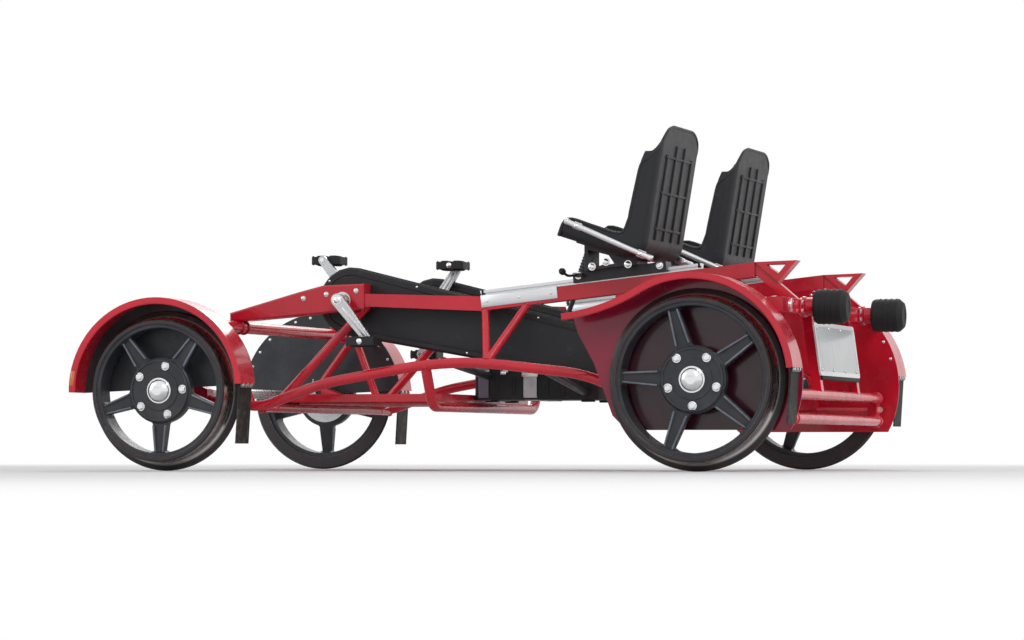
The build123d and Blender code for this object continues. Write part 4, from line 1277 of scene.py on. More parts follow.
@dataclass
class Fenders:
    """Fenders of one end, with rolled beads, riveted liners and flaps."""

    end: End
    rear_angle: float
    arch: float
    flare: float = 0.0
    # The front liners are black plate; behind the wheel their black also stands in for the shade under the
    # fender.
    liner: Finish = PLATE_BLACK
    flare_r: float = 0.600
    lip: float = 0.018
    bead: float = 0.0034
    rivet_pitch: float = 12.0
    rivet_in: float = 0.014
    flap_y: float = 0.731
    strip: Triple = (0.003, 0.094, 0.016)
    strip_bolts: Triple = (-0.034, 0.0, 0.034)
    centre: Vector = field(init=False)
    radius: float = field(init=False)
    edge_y: float = field(init=False)

    def __post_init__(self) -> None:
        """Reads the fender's radius and outer edge from the frame."""
        self.centre = spot(f"{self.end}_axle")
        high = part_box(f"{self.end}_fenders")[1]
        self.radius = high.z - self.centre.z
        self.edge_y = high.y - self.bead - 0.0002

    @property
    def front_angle(self) -> float:
        """Angle where the arch ends in front."""
        return self.rear_angle - self.arch

    def build(self) -> None:
        """Dresses the fenders and adds what is fixed to them."""
        name = self.end
        dress(RED_PAINT, f"{name}_fenders")
        dress(self.liner, f"{name}_fender_liners")
        dress(FLAP_RUBBER, f"{name}_mudflaps")
        self.beads()
        self.rivets()
        self.flap_clamps()

    def beads(self) -> None:
        """A rolled bead along the lip's lower edge, carried on through the flare."""
        piece = Piece(f"{self.end}_fender_beads", RED_PAINT)
        for sign in SIDES:
            middle = on_side(self.centre, sign * self.edge_y)
            piece.hoop(upright(middle), self.radius - self.lip, self.bead, start=self.front_angle,
                       sweep=self.arch, steps=72)
            if self.flare:
                far = polar(middle, self.radius + self.flare_r, self.front_angle)
                piece.hoop(upright(far), self.flare_r + self.lip, self.bead, start=self.front_angle + 180,
                           sweep=self.flare, steps=24)
        piece.done()

    def rivets(self) -> None:
        """Rivets that hold the liner's rim, seen from inside."""
        piece = Piece(f"{self.end}_liner_rivets", ZINC)
        inner_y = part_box(f"{self.end}_fender_liners")[1].y - 0.004
        count = round(self.arch / self.rivet_pitch)
        for sign in SIDES:
            middle = on_side(self.centre, sign * inner_y)
            for i in range(1, count):
                at = polar(middle, self.radius - self.rivet_in, self.front_angle + self.arch * i / count)
                piece.dome(at, ACROSS * -sign, 0.0055, 0.0025)
        piece.done()

    def flap_clamps(self) -> None:
        """A strip and three bolts that hold each flap."""
        low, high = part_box(f"{self.end}_mudflaps")
        strips = Piece(f"{self.end}_flap_strips", STRAP_STEEL)
        bolts = Piece(f"{self.end}_flap_bolts", ZINC)
        for sign in SIDES:
            at = Vector((low.x - 0.0012, sign * self.flap_y, high.z - 0.024))
            strips.block(at, self.strip, soften=0.0008)
            for y in self.strip_bolts:
                bolts.bolt(at + Vector((-0.001, y, 0)), REARWARD, across=0.010, height=0.0055)
        finish_all(strips, bolts)


@dataclass
class FenderReflectors:
    """An amber lens in a black tray, low on each front fender's lip."""

    fenders: Fenders
    angle: float = 8.0
    tray: Triple = (0.0165, 0.0036, 0.052)
    lens: Triple = (0.0130, 0.0022, 0.046)

    def build(self) -> None:
        """Adds the trays and their lenses."""
        lenses = Piece("front_reflectors", AMBER)
        trays = Piece("front_reflector_trays", CASE_PLASTIC)
        turn = Matrix.Rotation(math.radians(-self.angle), 4, "Y")
        for sign in SIDES:
            face = on_side(self.fenders.centre, sign * (self.fenders.edge_y + 0.0014))
            at = polar(face, self.fenders.radius - 0.0088, self.angle)
            trays.block(at, self.tray, turn, soften=0.001)
            lenses.block(at + ACROSS * sign * 0.0016, self.lens, turn, soften=0.0009)
        finish_all(trays, lenses)


@dataclass
class FrameTubes:
    """The frame's tubes, with weld beads where they meet.

    Places are those on the left side.
    """

    bead: float = 0.0035
    stay_r: float = 0.013
    boom_strut_r: float = 0.014
    seat_strut_r: float = 0.012
    stay_on_lower: Triple = (0.030, 0, 0.012)
    stay_on_axle: Triple = (-0.012, 0, 0.020)
    stay_on_box: Triple = (-0.022, 0, 0.041)
    boom_strut_y: float = SEAT_Y + 0.030
    boom_strut_head: Triple = (0.330, SEAT_Y + 0.002, 0.520)
    mid_z: float = 0.330
    seat_strut_foot: Triple = (-0.110, CHORD_Y, 0.334)
    seat_strut_heads: Pair = (-0.205, -0.062)
    beam_bend: Pair = (-0.05, 0.520)
    ladder_y: float = 0.565
    ladder_in: float = 0.0205
    post_z: float = 0.297

    def build(self) -> None:
        """Dresses the tubes and adds beads and pads."""
        dress(RED_PAINT, "side_chords", "front_lower_crossmember", "front_upper_crossmember",
              "mid_crossmember", "front_stays", "boom_struts", "seat_struts", "rear_posts", "seat_crossbar",
              "seat_stanchions")
        dress(PLATE_BLACK, "equipment_arms")
        piece = Piece("weld_beads", RED_PAINT)
        for sign in SIDES:
            self.front(piece, sign)
            self.middle(piece, sign)
            self.rear(piece, sign)
        piece.done(BEAD_ANGLE)

    def front(self, piece: Piece, sign: int) -> None:
        """Beads of the front stays, the crossmembers and the boom's strut.

        Args:
            piece: The piece that takes them.
            sign: The side of the car.
        """
        inward = ACROSS * -sign
        upper, lower, axle = (on_side(spot(node), sign * CHORD_Y) for node in
                              ("front_upper_crossmember", "front_lower_crossmember", "front_axle"))
        for foot in (lower + Vector(self.stay_on_lower), axle + Vector(self.stay_on_axle)):
            way = (foot - upper).normalized()
            piece.weld(upper + way * CROSSMEMBER_R, way, self.stay_r, self.bead, ACROSS, CROSSMEMBER_R)
        piece.weld(axle + Vector(self.stay_on_box), (upper - axle).normalized(), self.stay_r)
        piece.weld(lower + inward * TUBE_R, inward, TUBE_R, self.bead, Vector((0.95, 0, 0.1)), TUBE_R)
        end = spot("front_upper_crossmember", y=1.0)
        piece.weld(on_side(end, sign * end.y), inward, CROSSMEMBER_R, 0.0045)
        foot = on_side(lower, sign * self.boom_strut_y)
        way = mirrored(sign, *self.boom_strut_head) - foot
        piece.weld(foot + way.normalized() * TUBE_R, way, self.boom_strut_r, self.bead, ACROSS, TUBE_R)
        way = mirrored(sign, 0, -0.070, -0.130).normalized()
        chord = mirrored(sign, spot("mid_crossmember").x, CHORD_Y, self.mid_z)
        piece.weld(chord + way * TUBE_R, way, TUBE_R, self.bead, Vector((1, 0, -0.17)), TUBE_R)

    def middle(self, piece: Piece, sign: int) -> None:
        """Beads of the seat struts, which rise from one place on the chord.

        Args:
            piece: The piece that takes them.
            sign: The side of the car.
        """
        foot = mirrored(sign, *self.seat_strut_foot)
        bend_x, bend_z = self.beam_bend
        for x in self.seat_strut_heads:
            z = bend_z + (bend_x - x) * math.tan(math.radians(BEAM_RISE)) - self.seat_strut_r
            way = (mirrored(sign, x, SEAT_Y + 0.008, z) - foot).normalized()
            piece.weld(foot + way * TUBE_R, way, self.seat_strut_r, 0.0033, Vector((1, 0, 0.11)), TUBE_R)
            piece.weld(foot + way * (z - 0.0105 - foot.z) / way.z, -way, self.seat_strut_r, 0.0033)

    def rear(self, piece: Piece, sign: int) -> None:
        """Beads of the seat crossbar and the ladder, and pads under the rear posts.

        Args:
            piece: The piece that takes them.
            sign: The side of the car.
        """
        inward = ACROSS * -sign
        end = spot("seat_crossbar", y=1.0)
        piece.weld(on_side(end, sign * end.y), inward, 0.020, 0.0045)
        low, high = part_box("rear_ladder")
        for z in (low.z + self.ladder_in, high.z - self.ladder_in):
            piece.weld(mirrored(sign, low.x + TUBE_R, self.ladder_y, z), inward, TUBE_R)
        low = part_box("side_chords")[0]
        piece.weld(mirrored(sign, low.x, CHORD_Y, low.z + TUBE_R), FORWARD, TUBE_R)
        for share in (0.12, 0.88):
            post = mirrored(sign, spot("rear_posts", share).x, CHORD_Y, self.post_z)
            piece.bar(post - FORWARD * 0.02, post + FORWARD * 0.02, 0.044, 0.006, UP, soften=0.0025)


@dataclass
class Boom:
    """The crank boom, seat beam and slide rail on each side."""

    boom_half: float = 0.035
    beam_half: float = 0.025
    cup: Triple = (0.0128, 0.027, 0.0045)
    notch_ring: float = 0.0215
    bolts_at: Sequence[Pair] = ((0.055, 0.020), (0.132, 0.008), (-0.045, 0.030))
    rail_half: float = 0.018
    rail_tall: float = 0.018
    screws_at: Triple = (0.03, 0.09, 0.15)
    channel_x: Pair = (-0.052, -0.300)
    channel_tall: float = 0.036
    channel_thick: float = 0.0022
    joint_back: float = 0.064
    joint_z: float = 0.5235
    joint_half: Pair = (0.0255, 0.0215)
    screw_head: Section = ((0, 0), (0.0062, 0), (0.0055, 0.0012), (0.0030, 0.0014), (0.0026, 0.0004),
                           (0, 0.0004))
    way: Vector = field(init=False)
    up: Vector = field(init=False)

    def __post_init__(self) -> None:
        """Sets the directions backwards along the rails and up from them."""
        rise = math.radians(BEAM_RISE)
        self.way = Vector((-math.cos(rise), 0, math.sin(rise)))
        self.up = Vector((math.sin(rise), 0, math.cos(rise)))

    def build(self) -> None:
        """Dresses the booms, beams and rails, and adds their fittings."""
        dress(RED_PAINT, "crank_booms", "seat_beams")
        dress(RAIL_METAL, "seat_rails")
        self.bearings()
        self.rail_fittings()
        self.rail_channels()
        self.seams()

    def bearings(self) -> None:
        """Bearing cups at the crank, bolts through the boom and straps round the crossmember."""
        cups = Piece("crank_bearing_cups", ZINC)
        bolts = Piece("boom_bolts", ZINC)
        straps = Piece("boom_saddle_straps", RED_PAINT)
        upper = spot("front_upper_crossmember")
        for side in Side:
            crank = joint_at(f"{side}_crank_spin")
            for hand in (1, -1):
                out = ACROSS * hand
                face = on_side(crank, side.sign * SEAT_Y + hand * self.boom_half)
                cups.washer(face, out, *self.cup, 40)
                for notch in around(face, self.notch_ring, 6):
                    cups.rod(notch + out * 0.003, notch + out * 0.0055, 0.0022, sides=6)
                for x, z in self.bolts_at:
                    bolts.bolt(face + Vector((x, -0.0005 * hand, z)), out, across=0.011, height=0.006)
                strap = on_side(upper, side.sign * SEAT_Y + hand * 0.022)
                straps.hoop(upright(strap), CROSSMEMBER_R + 0.0015, 0.0035, steps=40)
        finish_all(cups, bolts, straps)

    def rail_fittings(self) -> None:
        """Screws in the rail's top and stops at its ends."""
        screws = Piece("rail_screws", ZINC)
        stops = Piece("rail_stops", TREAD_RUBBER)
        low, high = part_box("seat_rails")
        length = (high.x - low.x) / abs(self.way.x)
        for sign in SIDES:
            start = Vector((high.x - 0.0058, sign * SEAT_Y, low.z)) + self.up * self.rail_tall
            for along in self.screws_at:
                screws.turned(self.screw_head, start + self.way * along, self.up, 20)
            for along in (0.004, length - 0.011):
                at = start + self.way * along - self.up * 0.006
                stops.bar(at - self.way * 0.004, at + self.way * 0.004, 0.038, 0.017, self.up, soften=0.002)
        finish_all(screws, stops)

    def beam_top(self, x: float) -> float:
        """Height of the seat beam's top face at x."""
        low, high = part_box("seat_rails")
        return low.z + (high.x - x) * math.tan(math.radians(BEAM_RISE)) + 0.0002

    def rail_channels(self) -> None:
        """Bright channels folded over the beam's sides in front of the seat, with rivets."""
        channels = Piece("rail_channels", RAIL_METAL)
        rivets = Piece("rail_channel_rivets", ZINC)
        lip = self.beam_half + self.channel_thick - self.rail_half - 0.0004
        for sign in SIDES:
            for hand in (1, -1):
                y = sign * SEAT_Y + hand * (self.beam_half + self.channel_thick / 2)
                start, end = (Vector((x, y, self.beam_top(x))) - self.up * self.channel_tall / 2
                              for x in self.channel_x)
                channels.bar(start, end, self.channel_thick, self.channel_tall, self.up, soften=0.0008)
                for share in (0.08, 0.5, 0.92):
                    out = ACROSS * hand
                    rivets.dome(start.lerp(end, share) + out * 0.001, out, 0.0042, 0.0018, 14)
                top = ACROSS * -hand * lip / 2 + self.up * (self.channel_tall / 2 + 0.0009)
                channels.bar(start + top, end + top, lip, 0.0018, self.up, soften=0.0006)
        finish_all(channels, rivets)

    def seams(self) -> None:
        """Weld beads round the beam where it leaves the boom, as rows of short overlapping ripples."""
        piece = Piece("boom_weld_seams", RED_PAINT)
        x = joint_at("left_crank_spin").x - self.joint_back
        half_y, half_z = self.joint_half
        for sign in SIDES:
            corners = [Vector((x, sign * SEAT_Y + half_y * i, self.joint_z + half_z * j))
                       for i, j in ((-1, -1), (1, -1), (1, 1), (-1, 1))]
            for start, end in looped(corners):
                count = max(2, round((end - start).length / 0.0045))
                ripple = (end - start).normalized() * 0.003
                for i in range(count):
                    at = start.lerp(end, (i + 0.5) / count)
                    piece.rod(at - ripple, at + ripple, 0.0030, 0.0024, sides=8)
        piece.done(BEAD_ANGLE)


@dataclass
class FloorPan:
    """The pan below the pedals: raised treads on top, ribs beneath, a bright strip in front."""

    pitch: float = 0.036
    tread: Triple = (0.0125, 0.0036, 0.0018)
    tread_slope: float = 0.62
    margin: float = 0.04
    wall: float = 0.004
    rib: Pair = (0.022, 0.007)
    ribs_y: Sequence[float] = (-0.38, -0.27, -0.16, -0.05, 0.05, 0.16, 0.27, 0.38)
    rivets_y: Sequence[float] = (-0.40, -0.24, -0.08, 0.08, 0.24, 0.40)
    low: Vector = field(init=False)
    high: Vector = field(init=False)

    def __post_init__(self) -> None:
        """Reads the pan's box from the frame."""
        self.low, self.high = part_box("floor_pan")

    def build(self) -> None:
        """Dresses the pan and adds its treads, ribs and front strip."""
        dress(PAN_PAINT, "floor_pan")
        self.treads()
        self.ribs()

    def treads(self) -> None:
        """Rows of lozenges that stand at right angles to their neighbours."""
        piece = Piece("floor_pan_treads", PAN_PAINT)
        tall = self.tread[2]
        step = self.pitch / 2
        columns, rows = (int((size - self.margin) / self.pitch * 2) for size in (self.high - self.low)[:2])
        middle = (self.low + self.high) / 2
        z = self.low.z + self.wall + tall / 2
        for i in range(columns):
            lean = math.radians(45 if i % 2 else -45)
            for j in range(i % 2, rows, 2):
                at = Vector((middle.x + (i - (columns - 1) / 2) * step,
                             middle.y + (j - (rows - 1) / 2) * step, z))
                shape = bmesh.new()
                bmesh.ops.create_cone(shape, cap_ends=True, segments=8, radius1=1.0, radius2=self.tread_slope,
                                      depth=1.0, matrix=Matrix.Diagonal((*self.tread, 1)))
                piece.take(shape, Matrix.Translation(at) @ Matrix.Rotation(lean, 4, "Z"))
        piece.done(RUBBER_ANGLE)

    def ribs(self) -> None:
        """Pressed ribs under the pan, and a riveted strip on the front edge."""
        ribs = Piece("floor_pan_ribs", PAN_PAINT)
        strip = Piece("floor_pan_strip", ZINC)
        wide, tall = self.rib
        z = self.low.z - tall / 2 + 0.001
        for y in self.ribs_y:
            start, end = (Vector((x, y, z)) for x in (self.low.x + 0.045, self.high.x - 0.055))
            ribs.bar(start, end, wide, tall, UP, soften=0.003)
        front = Vector((self.high.x + 0.0012, 0, (self.low.z + self.high.z) / 2))
        strip.block(front, (0.0024, self.high.y - self.low.y - 0.02, 0.021), soften=0.0008)
        for y in self.rivets_y:
            strip.dome(on_side(front + FORWARD * 0.001, y), FORWARD, 0.004, 0.002)
        finish_all(ribs, strip)


@dataclass
class EquipmentBox:
    """The black box in the middle: lid seam, latches, straps and a carrying handle at each end."""

    lid: float = 0.036
    lid_bands: Sequence[Pair] = ((0.009, 0.007), (0.005, -0.004))
    ribs_x: Sequence[float] = (-0.272, -0.218, -0.164, -0.052, 0.004)
    foot_in: Pair = (0.05, 0.10)
    white: Pair = (-0.108, 0.044)
    # place and width of the grey strap, whose colour is a painted highlight
    grey: Pair = (0.049, 0.034)
    foot: Triple = (0.040, 0.026, 0.008)
    strap_thick: float = 0.002
    strap_flat: float = 0.128
    strap_off: float = 0.0042
    strap_corner: float = 0.012
    latches_x: Pair = (-0.245, -0.020)
    keeper: Triple = (0.024, 0.004, 0.012)
    latch_plate: Triple = (0.028, 0.005, 0.034)
    pin_r: float = 0.0022
    handle_y: float = 0.055
    handle_r: float = 0.0045
    low: Vector = field(init=False)
    high: Vector = field(init=False)

    def __post_init__(self) -> None:
        """Reads the box's corners from the frame."""
        self.low, self.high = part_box("equipment_box")

    def build(self) -> None:
        """Dresses the box and adds its fittings."""
        dress(BOX_PLASTIC, "equipment_box")
        self.lid_rim()
        self.straps()
        self.latches()

    def lid_rim(self) -> None:
        """The lid's overhanging rim, stiffening ribs below it and feet."""
        piece = Piece("equipment_box_lid_rim", BOX_PLASTIC)
        z = self.high.z - self.lid
        middle = (self.low + self.high) / 2
        length, width, _ = self.high - self.low
        inset, foot_y = self.foot_in
        for sign in SIDES:
            for tall, up in self.lid_bands:
                piece.block(Vector((middle.x, sign * width / 2, z + up)), (length - 0.026, 0.006, tall),
                            soften=0.0018)
                piece.block(Vector((middle.x + sign * length / 2, 0, z + up)), (0.006, width - 0.026, tall),
                            soften=0.0018)
            for x in self.ribs_x:
                start = Vector((x, sign * width / 2, self.low.z + 0.014))
                piece.bar(start, start + UP * 0.098, 0.012, 0.004, ACROSS * sign, soften=0.0016)
            for x in (self.low.x + inset, self.high.x - inset):
                piece.block(Vector((x, sign * foot_y, self.low.z - 0.003)), self.foot, soften=0.002)
        piece.done()

    def straps(self) -> None:
        """A white and a grey strap round the box, with their cam buckles; the grey strap's colour is a
        painted highlight on the box's side.
        """
        buckles = Piece("strap_buckles", ZINC)
        thick = self.strap_thick
        flat, side = self.strap_flat, self.high.y + self.strap_off
        top, foot = self.high.z + thick / 2, self.low.z - thick / 2
        upper, lower = top - self.strap_corner, foot + self.strap_corner
        ring = ((-flat, top), (flat, top), (side, upper), (side, lower), (flat, foot), (-flat, foot),
                (-side, lower), (-side, upper))
        for name, (x, width), finish in (("white_strap", self.white, WHITE_STRAP),
                                         ("grey_highlight_strap", self.grey, GREY_HIGHLIGHT_STRAP)):
            piece = Piece(name, finish)
            for start, end in looped([Vector((x, y, z)) for y, z in ring]):
                way = (end - start).normalized()
                overlap = way * thick * 0.4
                piece.bar(start - overlap, end + overlap, width, thick, FORWARD.cross(way), soften=0.0005)
            piece.done()
            for sign in SIDES:
                at = Vector((x, sign * (side + 0.003), self.high.z - 0.075))
                buckles.block(at, (width + 0.010, 0.005, 0.024), soften=0.0015)
                pin = at + mirrored(sign, 0, 0.003, 0.006)
                reach = FORWARD * (width / 2 + 0.004)
                buckles.rod(pin - reach, pin + reach, self.pin_r, sides=12)
        buckles.done()

    def latches(self) -> None:
        """Draw latches on both long sides and a folding handle at each end."""
        latches = Piece("box_latches", ZINC)
        grips = Piece("box_handles", TREAD_RUBBER)
        z = self.high.z - self.lid
        for sign in SIDES:
            for x in self.latches_x:
                self.latch(latches, Vector((x, sign * (self.high.y + 0.003), z)), sign)
            x = self.high.x + 0.002 if sign > 0 else self.low.x - 0.002
            foot = Vector((x, 0, z - 0.040))
            half = self.handle_y
            curve = ((0, -half, 0), (0.010, -half + 0.005, -0.006), (0.012, 0, -0.010),
                     (0.010, half - 0.005, -0.006), (0, half, 0))
            grips.pipe(smooth_path([foot + Vector((sign * out, y, up)) for out, y, up in curve]),
                       self.handle_r, 12)
            for y in (-half, half):
                latches.block(foot + Vector((0.001 * sign, y, 0)), (0.006, 0.018, 0.020), soften=0.0015)
        finish_all(latches, grips)

    def latch(self, piece: Piece, at: Vector, sign: int) -> None:
        """One draw latch: its keeper, plate, pin and tail.

        Args:
            piece: The piece that takes it.
            at: Where the lid's seam passes behind it.
            sign: The side of the car.
        """
        piece.block(at + UP * 0.010, self.keeper, soften=0.001)
        piece.block(at - UP * 0.020, self.latch_plate, soften=0.001)
        pin = at + mirrored(sign, 0, 0.003, 0.002)
        piece.rod(pin - FORWARD * 0.013, pin + FORWARD * 0.013, self.pin_r, sides=12)
        piece.bar(at + mirrored(sign, 0, 0.004, -0.034), at + mirrored(sign, 0, 0.009, -0.044),
                  0.018, 0.0022, ACROSS * sign, soften=0.0006)


@dataclass
class BrakeLever:
    """The parking brake's lever: a ribbed grip, a rubber boot and a quadrant of two arcs."""

    foot_x: float = -0.150
    lean: Pair = (-0.112, 0.311)
    grip_r: float = 0.014
    grip_ribs: int = 11
    rib_pitch: float = 0.010
    boot: Section = ((0.0, 0.004), (0.030, 0.004), (0.031, 0.010), (0.023, 0.016), (0.026, 0.022),
                     (0.018, 0.028), (0.021, 0.034), (0.014, 0.040), (0.016, 0.046), (0.009, 0.052),
                     (0.0, 0.052))
    bolt_off: Pair = (0.036, 0.021)
    quadrant_y: float = 0.014
    quadrant_r: Pair = (0.088, 0.074)
    quadrant_thick: float = 0.003

    def build(self) -> None:
        """Dresses the lever and adds its grip, boot and quadrant."""
        dress(PLATE_BLACK, "brake_lever")
        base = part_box("brake_lever")[0].z + 0.004
        foot = Vector((self.foot_x, 0, base))
        run, rise = self.lean
        top = foot + Vector((run, 0, rise))
        way = (top - foot).normalized()
        rubber = Piece("lever_grip_ribs", TREAD_RUBBER)
        for i in range(self.grip_ribs):
            at = top - way * (0.012 + i * self.rib_pitch)
            rubber.hoop(facing(at, way), self.grip_r - 0.0006, 0.0024, steps=28)
        rubber.turned(self.boot, foot, way, 36)
        rubber.done(RUBBER_ANGLE)
        metal = Piece("lever_fittings", ZINC)
        metal.dome(top - way * 0.001, way, 0.0105, 0.007, 24)
        metal.rod(top + way * 0.004, top + way * 0.010, 0.0045, sides=16, soften=0.001)
        reach, half = self.bolt_off
        for x, y in ((-reach, half), (reach, half), (-reach, -half), (reach, -half)):
            metal.bolt(foot + Vector((x, y, 0.004)), UP, across=0.010, height=0.006)
        metal.done()
        self.quadrant(foot)

    def quadrant(self, foot: Vector) -> None:
        """Two arcs beside the lever, each on two stays.

        Args:
            foot: The lever's pivot.
        """
        piece = Piece("lever_quadrant", PLATE_BLACK)
        outer, inner = self.quadrant_r
        for sign in (-1, 1):
            centre = on_side(foot, sign * self.quadrant_y)
            arc = [polar(centre, outer, a) for a in range(70, 141, 5)]
            arc += [polar(centre, inner, a) for a in range(140, 69, -5)]
            piece.slab(arc, ACROSS * sign * self.quadrant_thick, soften=0.0004)
            for angle, x in ((72, 0.026), (138, -0.034)):
                piece.bar(polar(centre, 0.078, angle), centre + Vector((x, 0, 0.004)), 0.003, 0.012,
                          Vector((1, 0, 0.2)), soften=0.0006)
        piece.done()


@dataclass
class ChainCases:
    """The slim housing of each chain: split flange, screws, bosses and pressed ribs."""

    faces_y: Pair = (0.387, 0.415)
    front_r: float = 0.105
    rear_r: float = 0.062
    flange_thick: float = 0.004
    boss_screws: int = 5
    front: Vector = field(init=False)
    rear: Vector = field(init=False)

    def __post_init__(self) -> None:
        """Reads the two sprockets' places from the frame."""
        self.front = joint_at("left_crank_spin")
        self.rear = spot("rear_axle")

    def build(self) -> None:
        """Dresses the cases and adds their fittings."""
        dress(CASE_PLASTIC, "chain_cases")
        shell = Piece("chain_case_flanges", CASE_PLASTIC)
        screws = Piece("chain_case_screws", ZINC)
        bosses = Piece("chain_case_bosses", PLATE_BLACK)
        middle = sum(self.faces_y) / 2
        for sign in SIDES:
            flange = [on_side(p, sign * middle - self.flange_thick / 2) for p in self.outline(0.0035, 10)]
            shell.slab(flange, ACROSS * self.flange_thick, soften=0.0008)
            for y, hand in zip(self.faces_y, (-1, 1)):
                out = ACROSS * sign * hand
                rib = [on_side(p, sign * y) for p in self.outline(-0.020, 14)]
                shell.pipe(rib, 0.0026, 8, closed=True)
                for at in self.outline(-0.0095, 3)[::2]:
                    screws.dome(on_side(at, sign * y), out, 0.0038, 0.0018, 12)
                for centre, hole, radius in ((self.front, 0.0185, 0.044), (self.rear, 0.0225, 0.040)):
                    foot = on_side(centre, sign * y)
                    bosses.washer(foot, out, hole, radius, 0.0035, 48)
                    for at in around(foot + out * 0.0033, radius - 0.007, self.boss_screws, 18):
                        screws.dome(at, out, 0.003, 0.0014, 12)
        finish_all(shell, screws, bosses)

    def outline(self, grow: float, steps: int) -> list[Vector]:
        """The housing's outline in the side view.

        Args:
            grow: How far outside the housing it runs.
            steps: Stretches of each round end, and half of those of each straight side.

        Returns:
            Its points, once round.
        """
        gap = self.rear - self.front
        lean = math.degrees(math.atan2(gap.z, gap.x))
        spread = math.degrees(math.acos((self.front_r - self.rear_r) / math.hypot(gap.x, gap.z)))
        front = [polar(self.front, self.front_r + grow, lean + spread + (360 - 2 * spread) * i / steps)
                 for i in range(steps + 1)]
        rear = [polar(self.rear, self.rear_r + grow, lean - spread + 2 * spread * i / steps)
                for i in range(steps + 1)]
        points = []
        for arc, following in ((front, rear), (rear, front)):
            points += arc + [arc[-1].lerp(following[0], i / (2 * steps)) for i in range(1, 2 * steps)]
        return points


@dataclass
class Crankset:
    """One crank with its two arms, and the pedals on them."""

    side: Side
    arm_y: Pair = (0.069, 0.086)
    tread_x: float = 0.021
    tread: Triple = (0.024, 0.062, 0.004)
    ridge: Triple = (0.020, 0.0042, 0.0028)
    ridges: int = 6
    ridge_pitch: float = 0.010
    stud_off: Pair = (0.042, 0.036)
    lens_x: float = 0.0362
    lens: Triple = (0.0035, 0.046, 0.013)

    def build(self) -> None:
        """Dresses the crank and pedals, and adds caps, pinch bolts, spines, treads and reflectors."""
        name = self.side
        dress(CRANK_METAL, f"{name}_crankset")
        caps = Piece(f"{name}_crank_caps", CHROME, f"{name}_crank")
        spines = Piece(f"{name}_crank_spines", CRANK_METAL, f"{name}_crank")
        for place, hand in (("outer", 1), ("inner", -1)):
            pin = joint_at(f"{name}_{place}_pedal_spin")
            self.arm(caps, spines, pin, self.side.sign * hand)
            self.pedal(f"{name}_{place}_pedal", pin, ACROSS * self.side.sign * hand)
        finish_all(caps, spines)

    def arm(self, caps: Piece, spines: Piece, pin: Vector, hand: int) -> None:
        """Cap, pinch bolt and raised spines of one arm.

        Args:
            caps: The piece that takes the cap and the bolt.
            spines: The piece that takes the spines.
            pin: The pedal pin's place.
            hand: 1 for an arm on the crank's left, -1 for one on its right.
        """
        out = ACROSS * hand
        inner_y, outer_y = (self.side.sign * SEAT_Y + hand * y for y in self.arm_y)
        hub = on_side(joint_at(f"{self.side}_crank_spin"), outer_y)
        eye = on_side(pin, outer_y)
        way = (eye - hub).normalized()
        side = way.cross(ACROSS)
        caps.dome(hub, out, 0.0125, 0.0045, 28)
        caps.washer(hub - out * 0.0005, out, 0.012, 0.0155, 0.002, 28)
        inner_eye = on_side(pin, inner_y)
        caps.rod(inner_eye, inner_eye - out * 0.003, 0.0075, sides=6)
        spines.bar(hub + way * 0.030, eye - way * 0.026, 0.0090, 0.0030, out, 0.0010)
        for edge in (-side, side):
            spines.bar(hub + way * 0.018 + edge * 0.0140, eye - way * 0.012 + edge * 0.0085,
                       0.0026, 0.0022, out, 0.0007)

    def pedal(self, node: str, pin: Vector, out: Vector) -> None:
        """Rubber treads, studs, reflectors and the pin's cap of one pedal.

        Args:
            node: The pedal's CAD node, which is named like its body.
            pin: The pedal pin's place.
            out: The direction across the car in which the pedal stands off its arm.
        """
        dress(PEDAL_PLASTIC, node)
        low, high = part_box(node)
        middle = (low + high) / 2
        treads = Piece(f"{node}_treads", TREAD_RUBBER, node)
        stud_x, stud_y = self.stud_off
        for face, level in ((UP, high.z - middle.z), (-UP, middle.z - low.z)):
            crown = middle + face * level
            for x in (-self.tread_x, self.tread_x):
                treads.block(crown + FORWARD * x + face * 0.0008, self.tread, soften=0.0012)
                for i in range(self.ridges):
                    y = (i - (self.ridges - 1) / 2) * self.ridge_pitch
                    treads.block(crown + Vector((x, y, 0)) + face * 0.0030, self.ridge, soften=0.0008)
            for x in (-stud_x, stud_x):
                for y in (-stud_y, stud_y):
                    treads.dome(crown + Vector((x, y, 0)), face, 0.0032, 0.0032, 10)
        lenses = Piece(f"{node}_reflectors", AMBER, node)
        for x in (-self.lens_x, self.lens_x):
            lenses.block(middle + FORWARD * x, self.lens, soften=0.0008)
        caps = Piece(f"{node}_pin_caps", CHROME, node)
        caps.dome(on_side(pin, high.y if out.y > 0 else low.y), out, 0.0095, 0.0035, 20)
        finish_all(treads, lenses, caps)


class PadKind(StrEnum):
    """The two pads of a seat."""

    CUSHION = "cushion"
    BACK = "back_pad"


